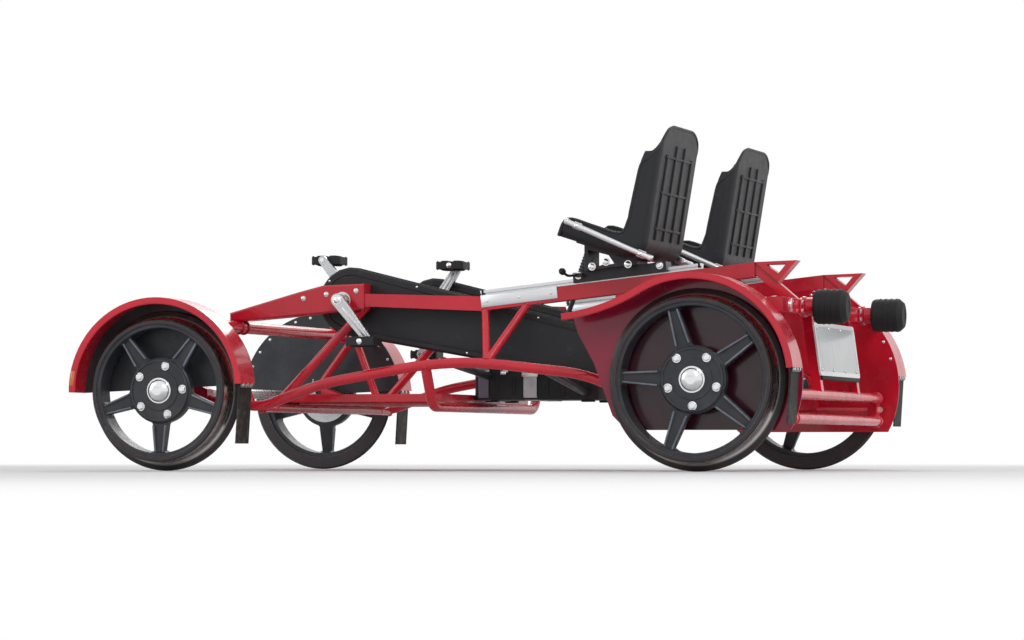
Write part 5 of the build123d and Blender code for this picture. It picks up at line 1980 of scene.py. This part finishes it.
@dataclass
class SeatPad:
    """An upholstered pad, inflated between its sewn channels and finished with piping.

    Its own axes are x along the seat line, y across and z out of the shell.
    """

    kind: PadKind
    length: float
    width: float
    thick: float
    channels: int
    cell: float = 0.006
    corner: float = 0.030
    seam_depth: float = 0.0065
    cap: float = 0.012
    shrink: float = 0.009
    pressure: float = 4.0
    stiffness: float = 2.0
    bending: float = 0.3
    mass: float = 0.05
    ease: float = 0.03
    last_frame: int = 20
    fill: float = 0.75
    piping_r: float = 0.0024
    stitch_pitch: float = 0.0078
    stitch: float = 0.0052
    stitch_row: float = 0.0046
    thread_r: float = 0.0006
    mesh: bpy.types.Mesh = field(init=False)
    held: list[int] = field(init=False)
    tree: BVHTree = field(init=False)

    def simulate(self) -> None:
        """Makes the pad's cloth once, in its own axes."""
        self.block()
        self.inflate()
        self.tree = self.surface()

    @property
    def reach(self) -> Pair:
        """Half the pad's length and width, up to where its round corners begin."""
        return self.length / 2 - self.corner, self.width / 2 - self.corner

    def seams(self) -> list[float]:
        """Places along the pad where it is sewn down."""
        return [self.length * (i / self.channels - 0.5) for i in range(1, self.channels)]

    def block(self) -> None:
        """A closed block of small squares with rounded corners, grooved at its seams."""
        shape = bmesh.new()
        rows, columns = round(self.length / self.cell), round(self.width / self.cell)
        bmesh.ops.create_grid(shape, x_segments=rows, y_segments=columns, size=0.5,
                              matrix=Matrix.Diagonal((self.length, self.width, 1, 1)))
        self.round_corners(shape)
        grown = bmesh.ops.extrude_face_region(shape, geom=shape.faces[:])["geom"]
        crown = self.thick - self.shrink
        top = [g for g in grown if isinstance(g, bmesh.types.BMVert)]
        bmesh.ops.translate(shape, verts=top, vec=(0, 0, crown))
        walls = [e for e in shape.edges if abs(e.verts[0].co.z - e.verts[1].co.z) > crown / 2]
        bmesh.ops.subdivide_edges(shape, edges=walls, cuts=3, use_grid_fill=True)
        bmesh.ops.recalc_face_normals(shape, faces=shape.faces)
        self.held = self.groove(shape, crown)
        self.mesh = mesh_from(shape, self.kind)

    def groove(self, shape: bmesh.types.BMesh, crown: float) -> list[int]:
        """Presses the seams into the block's top.

        Args:
            shape: The block.
            crown: Height of its top.

        Returns:
            The numbers of the vertices that the shell and the seams hold.
        """
        held = []
        for i, vert in enumerate(shape.verts):
            on_top = vert.co.z > crown - 1e-5
            sewn = min(abs(vert.co.x - seam) for seam in self.seams())
            reach = max(0.0, 1 - sewn / (self.cell * 1.2))
            side = self.width / 2 - abs(vert.co.y)
            if on_top and side > self.cell * 1.5:
                vert.co.z -= self.seam_depth * reach
            if vert.co.z < 1e-5 or (on_top and reach > 0.2 and side > self.cell * 2):
                held.append(i)
        return held

    def round_corners(self, shape: bmesh.types.BMesh) -> None:
        """Draws the corners of the flat outline in to their radius.

        Args:
            shape: The flat outline, filled with squares.
        """
        reach_x, reach_y = self.reach
        for vert in shape.verts:
            off = Vector((max(abs(vert.co.x) - reach_x, 0), max(abs(vert.co.y) - reach_y, 0)))
            if min(off) > 0:
                off *= max(off) / off.length
                vert.co.x = math.copysign(reach_x + off.x, vert.co.x)
                vert.co.y = math.copysign(reach_y + off.y, vert.co.y)

    def inflate(self) -> None:
        """Blows the block up as cloth, with its base and seams held, and keeps the shape."""
        scene = bpy.context.scene
        puppet = put("pad_in_the_making", self.mesh)
        puppet.vertex_groups.new(name="held").add(self.held, 1.0, "REPLACE")
        cloth = puppet.modifiers.new("cloth", "CLOTH")
        settings = cloth.settings
        settings.quality = 5
        settings.mass = self.mass
        settings.tension_stiffness = settings.compression_stiffness = self.stiffness
        settings.bending_stiffness = self.bending
        settings.vertex_group_mass = "held"
        settings.shrink_min = -self.ease
        settings.use_pressure = True
        settings.uniform_pressure_force = self.pressure
        settings.effector_weights.gravity = 0.0
        cloth.collision_settings.use_collision = False
        cloth.collision_settings.use_self_collision = False
        cloth.point_cache.frame_start, cloth.point_cache.frame_end = 1, self.last_frame
        for step in range(0, self.last_frame + 1):
            scene.frame_set(step)
        blown = puppet.evaluated_get(bpy.context.evaluated_depsgraph_get()).to_mesh()
        moves = [vert.co - rest.co for rest, vert in zip(self.mesh.vertices, blown.vertices)]
        puppet.to_mesh_clear()
        bpy.data.objects.remove(puppet)
        for vert, move in zip(self.mesh.vertices, moves):
            vert.co += move if move.length <= self.cap else move.normalized() * self.cap
        scene.frame_set(1)

    def surface(self) -> BVHTree:
        """Finds the pad's surface, where its thread lies.

        Returns:
            The surface, for casting rays at.
        """
        shape = bmesh.new()
        shape.from_mesh(self.mesh)
        tree = BVHTree.FromBMesh(shape)
        shape.free()
        return tree

    def height(self, x: float, y: float) -> float:
        """Height of the pad's face at a place in its own axes."""
        hit = self.tree.ray_cast(Vector((x, y, 1.0)), -UP)[0]
        return hit.z if hit is not None else 0.0

    def lay(self, side: Side, place: Matrix) -> None:
        """Puts a copy of the pad with its piping and thread on a seat.

        Args:
            side: The seat's side.
            place: The pad's axes in the frame.
        """
        name, body = f"{side}_{self.kind}", f"{side}_seat"
        pad = Piece(name, PAD_VINYL, body)
        pad.mesh.from_mesh(self.mesh)
        bmesh.ops.transform(pad.mesh, matrix=place, verts=pad.mesh.verts)
        made = pad.done(PAD_ANGLE)
        soft = made.modifiers.new("soft", "SUBSURF")
        soft.levels = soft.render_levels = 1
        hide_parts(f"{body}_pads")
        welt = Piece(f"{name}_piping", PIPING, body)
        for level in (0.006, self.thick - self.shrink - 0.002):
            welt.pipe([place @ p for p in self.rim(level)], self.piping_r, 8, closed=True)
        thread = Piece(f"{name}_thread", THREAD, body)
        self.sew(thread, place)
        finish_all(welt, thread)

    def rim(self, level: float) -> list[Vector]:
        """The pad's rounded outline at a height, where its piping runs.

        Args:
            level: The height.

        Returns:
            Its points, at most 20 mm apart.
        """
        reach_x, reach_y = self.reach
        radius = self.corner + 0.0006
        points = []
        for quarter, (x, y) in enumerate(((1, 1), (-1, 1), (-1, -1), (1, -1))):
            for i in range(6):
                turn = math.radians(90 * quarter + 18 * i)
                points.append(Vector((x * reach_x + radius * math.cos(turn),
                                      y * reach_y + radius * math.sin(turn), level)))
        full = []
        for start, end in looped(points):
            steps = max(1, round((end - start).length / 0.02))
            full += [start.lerp(end, i / steps) for i in range(steps)]
        return full

    def sew(self, thread: Piece, place: Matrix) -> None:
        """Two rows of stitches beside every seam.

        Args:
            thread: The piece that takes them.
            place: The pad's axes in the frame.
        """
        count = int((self.width - 0.036) / self.stitch_pitch)
        for seam in self.seams():
            for x in (seam - self.stitch_row, seam + self.stitch_row):
                for i in range(count):
                    middle = (i - (count - 1) / 2) * self.stitch_pitch
                    start, end = (place @ Vector((x, y, self.height(x, y) + 0.0002))
                                  for y in (middle - self.stitch / 2, middle + self.stitch / 2))
                    thread.rod(start, end, self.thread_r, sides=5)


@dataclass
class Seat:
    """One bucket seat on its slide: shell, pads, side rails and base.

    The heel is where the seat's pan and back would meet, in the shell's middle plane.
    """

    side: Side
    cushion: SeatPad
    back_pad: SeatPad
    pan: Pair = (0.264, 0.0855)
    back: Pair = (-0.070, 0.422)
    shell_t: float = 0.0065
    rim_r: float = 0.0052
    half: float = 0.220
    rim_front: Triple = (0.265, 0.217, 0.0915)
    rim_side: Section = ((0.236, 0.138), (0.150, 0.1135), (0.072, 0.091), (0.046, 0.128), (0.037, 0.165),
                         (0.020, 0.240), (0.004, 0.300))
    shoulder: Sequence[float] = (8, 24, 45, 66, 88)
    shoulder_r: float = 0.120
    ribs_y: Sequence[float] = (-0.135, -0.045, 0.045, 0.135)
    ribs_up: Triple = (0.11, 0.22, 0.33)
    slide_bolts_x: Pair = (-0.372, -0.632)
    base_bolts: Section = ((-0.425, 0.628), (-0.470, 0.642), (-0.540, 0.634))
    rail_off: float = 0.009
    rail_cap: Section = ((0, 0), (0.007, 0), (0.0102, 0.003), (0.0102, 0.012), (0, 0.012))
    lever_from: Triple = (-0.375, 0.062, 0.603)
    lever_bends: Sequence[Triple] = ((0, 0, 0), (0.004, 0.020, -0.002), (0.010, 0.060, -0.004),
                                     (0.016, 0.092, 0.006))
    knob: Section = ((0, -0.010), (0.006, -0.010), (0.0100, -0.004), (0.0105, 0.004), (0.0075, 0.011),
                     (0, 0.013))
    body: str = field(init=False)
    heel: Vector = field(init=False)
    pan_way: Vector = field(init=False)
    pan_up: Vector = field(init=False)
    back_way: Vector = field(init=False)
    back_out: Vector = field(init=False)

    def __post_init__(self) -> None:
        """Finds the heel in the frame, and the directions of the pan and the back from it."""
        self.body = f"{self.side}_seat"
        low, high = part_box(f"{self.body}_shell")
        (run, rise), (lean, tall) = self.pan, self.back
        self.heel = Vector((high.x - run, (low.y + high.y) / 2, high.z - tall))
        self.pan_way = Vector((run, 0, rise)).normalized()
        self.back_way = Vector((lean, 0, tall)).normalized()
        self.pan_up = self.pan_way.cross(ACROSS)
        self.back_out = ACROSS.cross(self.back_way)

    def piece(self, name: str, finish: Finish) -> Piece:
        """A new piece that slides with the seat."""
        return Piece(f"{self.body}_{name}", finish, self.body)

    def build(self) -> None:
        """Dresses the seat's CAD nodes and adds the rest."""
        dress(SHELL_PLASTIC, f"{self.body}_shell")
        dress(RAIL_METAL, f"{self.body}_side_rails")
        dress(PLATE_BLACK, f"{self.body}_base")
        self.pads()
        self.rim()
        self.ribs()
        self.fittings()

    def pads(self) -> None:
        """The cushion and the back pad."""
        for pad, way, out, middle in ((self.cushion, self.pan_way, self.pan_up, 0.161),
                                      (self.back_pad, self.back_way, self.back_out, 0.226)):
            origin = self.heel + way * middle + out * self.shell_t
            pad.lay(self.side, axes(origin, way, out.cross(way), out))

    def rim(self) -> None:
        """The rolled rim of the shell, from lip to lip over the shoulders."""
        lean, tall = self.back
        corner, inner_r = self.shoulder_r, self.shoulder_r - 0.003
        side = [Vector(self.rim_front), *(Vector((x, self.half - 0.003, z)) for x, z in self.rim_side)]
        front = self.rim_side[-1][0]
        for angle in self.shoulder:
            turn = math.radians(angle)
            z = tall - corner + inner_r * math.sin(turn)
            on_lip = front - 0.022 * min(1.0, (z - tall + corner) / 0.030)
            on_back = lean + 0.003 - (tall - z) * lean / tall
            share = min(1.0, angle / 30)
            side.append(Vector((on_lip + (on_back - on_lip) * share,
                                self.half - corner + inner_r * math.cos(turn), z)))
        left = smooth_path([self.heel + point for point in side], 5)
        right = [Vector((p.x, 2 * self.heel.y - p.y, p.z)) for p in reversed(left)]
        piece = self.piece("rim", SHELL_PLASTIC)
        piece.pipe(left + right, self.rim_r, 12, closed=True)
        piece.done()

    def ribs(self) -> None:
        """Moulded ribs up and across the back of the shell, and under the pan."""
        piece = self.piece("shell_ribs", SHELL_PLASTIC)
        for y in self.ribs_y:
            for start, end, way, out in ((0.075, 0.385 - abs(y) * 0.35, self.back_way, self.back_out),
                                         (0.080, 0.245, self.pan_way, self.pan_up)):
                foot = self.heel + ACROSS * y - out * 0.0018
                piece.bar(foot + way * start, foot + way * end, 0.012, 0.0075, out, soften=0.0025)
        for along in self.ribs_up:
            foot = self.heel + self.back_way * along - self.back_out * 0.0012
            half = ACROSS * 0.150
            piece.bar(foot - half, foot + half, 0.008, 0.0055, self.back_out, soften=0.002)
        piece.done()

    def fittings(self) -> None:
        """Bright bolts on the base, brackets of the side rails and the slide's lever."""
        bolts = self.piece("bolts", CHROME)
        brackets = self.piece("rail_brackets", RAIL_METAL)
        low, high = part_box(f"{self.body}_base")
        for sign in SIDES:
            out = ACROSS * sign
            for x in self.slide_bolts_x:
                z = low.z + 0.021 + (high.x - x) * math.tan(math.radians(BEAM_RISE))
                bolts.bolt(Vector((x, self.heel.y + sign * 0.030, z)), out, across=0.016, height=0.009)
            for x, z in self.base_bolts:
                bolts.bolt(Vector((x, self.heel.y + sign * 0.060, z)), out, across=0.017, height=0.009)
            self.side_rail(brackets, bolts, sign)
        lever = self.piece("slide_lever", PLATE_BLACK)
        knob = self.piece("lever_knob", TREAD_RUBBER)
        self.slide_lever(lever, knob)
        finish_all(bolts, brackets, lever, knob)

    def side_rail(self, brackets: Piece, bolts: Piece, sign: int) -> None:
        """End caps, brackets and rivets of one side rail.

        Args:
            brackets: The piece that takes the caps and brackets.
            bolts: The piece that takes the rivets.
            sign: 1 for the seat's left, -1 for its right.
        """
        out = ACROSS * sign
        low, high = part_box(f"{self.body}_side_rails")
        wall = self.heel.y + sign * self.half
        tube = wall + sign * self.rail_off
        front = Vector((high.x - 0.004, tube, high.z - 0.008))
        rear = Vector((low.x + 0.004, tube, low.z + 0.008))
        for end, other in ((front, rear), (rear, front)):
            inward = (other - end).normalized()
            brackets.turned(self.rail_cap, end - inward * 0.0012, inward, 24)
            at = end + inward * 0.040
            foot, half = on_side(at, wall), inward * 0.013
            brackets.bar(foot - half, foot + half, 0.022, 0.005, out, soften=0.0012)
            bolts.dome(on_side(at, tube + sign * 0.008), out, 0.0052, 0.003, 18)

    def slide_lever(self, lever: Piece, knob: Piece) -> None:
        """The slide's lever beside the base, and the knob at its end.

        Args:
            lever: The piece that takes the lever.
            knob: The piece that takes the knob.
        """
        sign = self.side.sign
        start = ACROSS * self.heel.y + mirrored(sign, *self.lever_from)
        path = smooth_path([start + mirrored(sign, *bend) for bend in self.lever_bends])
        lever.pipe(path, 0.0042, 12)
        lever.block(start + mirrored(sign, -0.004, -0.010, 0), (0.030, 0.024, 0.012), soften=0.002)
        knob.turned(self.knob, path[-1], (path[-1] - path[-2]).normalized(), 24)


@dataclass
class RearEnd:
    """Ladder, uprights with the blank plate, buffer beam with its buffers, stays and fins."""

    buffer_y: float = 0.400
    beam_deep: float = 0.038
    rib_shares: Sequence[float] = (0.22, 0.40, 0.58, 0.76)
    face_ring: Triple = (0.020, 0.036, 0.0018)
    flange: Section = ((0, 0), (0.0325, 0), (0.0315, 0.008), (0.0283, 0.0115), (0, 0.0115))
    flange_plate: Triple = (0.006, 0.112, 0.042)
    flange_bolts: Pair = (0.045, 0.0125)
    plate_screws_y: Sequence[float] = (-0.235, -0.080, 0.080, 0.235)
    plate_screws_up: Pair = (0.020, 0.150)
    trim_half: float = 0.255
    lamp_y: float = 0.560
    lamp_ring: Triple = (0.0160, 0.0195, 0.0045)
    ladder_bolts_y: float = 0.6145
    ladder_bolts_up: Triple = (0.022, 0.058, 0.094)
    beam_back: Vector = field(init=False)

    def __post_init__(self) -> None:
        """Finds the middle of the buffer beam's rear face in the frame."""
        low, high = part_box("buffer_beam")
        self.beam_back = Vector((low.x + self.beam_deep, 0, (low.z + high.z) / 2))

    def build(self) -> None:
        """Dresses the rear end and adds its fittings."""
        dress(RED_PAINT, "rear_ladder", "buffer_beam", "rear_uprights", "rear_stays", "fins")
        dress(TREAD_RUBBER, "buffers")
        dress(SHEETING, "rear_plate")
        self.buffers()
        self.plate()
        self.lamps()

    def buffers(self) -> None:
        """Ribs and a face ring on each buffer, a bolted flange on each stub."""
        rubber = Piece("buffer_ribs", TREAD_RUBBER)
        flanges = Piece("buffer_flanges", RED_PAINT)
        bolts = Piece("buffer_bolts", ZINC)
        low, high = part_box("buffers")
        z, radius = (low.z + high.z) / 2, (high.z - low.z) / 2
        bolt_y, bolt_z = self.flange_bolts
        for sign in SIDES:
            y = sign * self.buffer_y
            for share in self.rib_shares:
                rib = Vector((low.x + (high.x - low.x) * share, y, z))
                rubber.hoop(facing(rib, REARWARD), radius - 0.0012, 0.0030, steps=56)
            rubber.washer(Vector((low.x + 0.0005, y, z)), REARWARD, *self.face_ring, 48)
            foot = Vector((self.beam_back.x + 0.0005, y, z))
            flanges.block(foot + REARWARD * 0.003, self.flange_plate, soften=0.0015)
            flanges.turned(self.flange, foot, REARWARD, 48)
            for off in (-bolt_y, bolt_y):
                for up in (-bolt_z, bolt_z):
                    bolts.bolt(foot + Vector((-0.0058, off, up)), REARWARD, across=0.010, height=0.0055)
        finish_all(rubber, flanges, bolts)

    def plate(self) -> None:
        """Screws in the plate's face and a black strip under it that stands in for the shadow along the
        plate's lower edge.
        """
        screws = Piece("plate_screws", ZINC)
        shadow_trim = Piece("plate_shadow_trim", TREAD_RUBBER)
        low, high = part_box("rear_plate")
        lean = Vector((high.x - low.x - 0.006, 0, high.z - low.z)).normalized()
        out = Vector((-lean.z, 0, lean.x))
        foot = Vector((low.x + 0.0022, 0, low.z)) + out * 0.0002
        for y in self.plate_screws_y:
            for along in self.plate_screws_up:
                screws.dome(foot + ACROSS * y + lean * along + out * 0.0006, out, 0.0058, 0.0030, 18)
        # Black rubber strip that stands in for the shadow along the plate's lower edge.
        edge = foot - lean * 0.006 - out * 0.002
        half = ACROSS * self.trim_half
        shadow_trim.bar(edge - half, edge + half, 0.012, 0.010, out, soften=0.002)
        finish_all(screws, shadow_trim)

    def lamps(self) -> None:
        """Round red reflectors on the beam's ends and bolts in the ladder's sides."""
        lenses = Piece("rear_reflectors", RED_LENS)
        rings = Piece("rear_reflector_rings", CHROME)
        bolts = Piece("ladder_bolts", ZINC)
        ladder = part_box("rear_ladder")[0]
        for sign in SIDES:
            at = on_side(self.beam_back, sign * self.lamp_y)
            lenses.dome(at + REARWARD * 0.003, REARWARD, 0.0165, 0.0055, 32)
            rings.washer(at, REARWARD, *self.lamp_ring, 36)
            for up in self.ladder_bolts_up:
                bolts.bolt(Vector((ladder.x + TUBE_R, sign * self.ladder_bolts_y, ladder.z + up)),
                           ACROSS * sign, across=0.013, height=0.007)
        finish_all(lenses, rings, bolts)


@dataclass
class Studio:
    """Camera, floor and soft light."""

    azimuth: float = 198.0
    distance: float = 12.4
    eye: float = 0.06
    aim_under: float = 0.04
    lens: float = 135.0
    floor_radius: float = 60.0
    floor_colour: Colour = (0.74, 0.74, 0.75, 1)
    fade_from_to: Pair = (2.6, 7.5)
    sky: float = 0.46
    target: Vector = field(init=False)

    def build(self) -> None:
        """Sets up the studio."""
        bpy.context.scene.view_settings.view_transform = "Standard"
        self.target = (CAD_BOX[0] + CAD_BOX[1]) / 2
        self.camera()
        self.floor()
        self.world()
        self.lamp("key", (-4.2, 7.5, 6.2), 3.4, 300)
        self.lamp("fill", (6.8, 5.0, 3.2), 4.6, 120)
        self.lamp("back", (1.5, -7.5, 5.5), 4.0, 190)
        self.lamp("rear", (-7.5, -1.5, 3.6), 3.6, 120)

    def camera(self) -> None:
        """A long lens at floor level, on the photograph's line of sight."""
        turn = math.radians(self.azimuth)
        data = bpy.data.cameras.new("camera")
        data.lens = self.lens
        made = put("camera", data)
        back = Vector((math.sin(turn), -math.cos(turn), 0))
        made.location = on_side(self.target, 0) + back * self.distance
        made.location.z = self.eye
        aim = Vector((self.target.x, 0, self.target.z - self.aim_under)) - made.location
        made.rotation_euler = aim.to_track_quat("-Z", "Y").to_euler()
        bpy.context.scene.camera = made

    def floor(self) -> None:
        """A wide pale disc under the wheels."""
        shape = bmesh.new()
        bmesh.ops.create_circle(shape, cap_ends=True, segments=96, radius=self.floor_radius)
        data = mesh_from(shape, "floor")
        recipe = Recipe("studio_floor")
        colour = recipe.mix(recipe.noise(1.5, 5.0), shaded(self.floor_colour, 0.97), self.floor_colour)
        recipe.serve(colour, 0.75, recipe.bump(recipe.noise(90.0, 3.0), 0.0005, 0.2))
        self.fade(recipe)
        data.materials.append(recipe.material)
        put("floor", data)

    def fade(self, recipe: Recipe) -> None:
        """Lets the floor fade to the white of the background away from the car.

        Args:
            recipe: The floor's material, which has its shader.
        """
        place = recipe.node("ShaderNodeVectorMath", {0: recipe.place}, operation="LENGTH")
        path = recipe.node("ShaderNodeLightPath")
        seen = recipe.most(path.outputs["Is Camera Ray"], path.outputs["Is Glossy Ray"])
        share = recipe.times(seen, recipe.between(place.outputs["Value"], *self.fade_from_to))
        glow = recipe.node("ShaderNodeEmission", {"Color": WHITE, "Strength": 1.0})
        output = next(n for n in recipe.tree.nodes if n.type == "OUTPUT_MATERIAL")
        shader = output.inputs["Surface"].links[0].from_socket
        both = recipe.node("ShaderNodeMixShader", {0: share, 1: shader, 2: glow.outputs[0]})
        recipe.feed(output, {"Surface": both.outputs[0]})

    def world(self) -> None:
        """Even light, and a white background where the camera or a reflection sees it."""
        world = bpy.data.worlds.new("studio")
        world.use_nodes = True
        bpy.context.scene.world = world
        nodes = Nodes(world.node_tree)
        path = nodes.node("ShaderNodeLightPath")
        seen = nodes.most(path.outputs["Is Camera Ray"], path.outputs["Is Glossy Ray"])
        seen = nodes.most(seen, path.outputs["Is Transmission Ray"])
        level = nodes.node("ShaderNodeMapRange", {"Value": seen, "To Min": self.sky, "To Max": 1.0})
        back = nodes.tree.nodes["Background"]
        nodes.feed(back, {"Color": WHITE, "Strength": level.outputs["Result"]})

    def lamp(self, name: str, at: Triple, size: float, power: float) -> None:
        """Adds a square soft lamp that points at the car.

        Args:
            name: The lamp's name.
            at: Its place.
            size: Its side.
            power: Its power in watts.
        """
        data = bpy.data.lights.new(name, "AREA")
        data.size = size
        data.energy = power
        made = put(name, data)
        made.location = at
        made.rotation_euler = (self.target - Vector(at)).to_track_quat("-Z", "Y").to_euler()


def main() -> None:
    """Builds the car's sub-assemblies in order, then the studio."""
    logging.basicConfig(level=logging.INFO, format="%(message)s")
    front_fenders = Fenders(End.FRONT, rear_angle=176.0, arch=177.0)
    cushion = SeatPad(PadKind.CUSHION, length=0.176, width=0.334, thick=0.036, channels=4)
    back_pad = SeatPad(PadKind.BACK, length=0.286, width=0.334, thick=0.030, channels=6)
    for pad in (cushion, back_pad):
        pad.simulate()
    assemblies = [
        Wheelset(End.FRONT, first_spoke=54.0),
        Wheelset(End.REAR, first_spoke=2.0),
        AxleBoxes(End.FRONT),
        AxleBoxes(End.REAR),
        front_fenders,
        Fenders(End.REAR, rear_angle=174.0, arch=114.0, flare=24.0, liner=LINER_PAINT),
        FrameTubes(),
        Boom(),
        FloorPan(),
        EquipmentBox(),
        BrakeLever(),
        ChainCases(),
        Crankset(Side.LEFT),
        Crankset(Side.RIGHT),
        Seat(Side.LEFT, cushion, back_pad),
        Seat(Side.RIGHT, cushion, back_pad),
        RearEnd(),
        FenderReflectors(front_fenders),
    ]
    for assembly in assemblies:
        assembly.build()
        LOG.info("built %s", type(assembly).__name__)
    Studio().build()


if __name__ == "__main__":
    main()
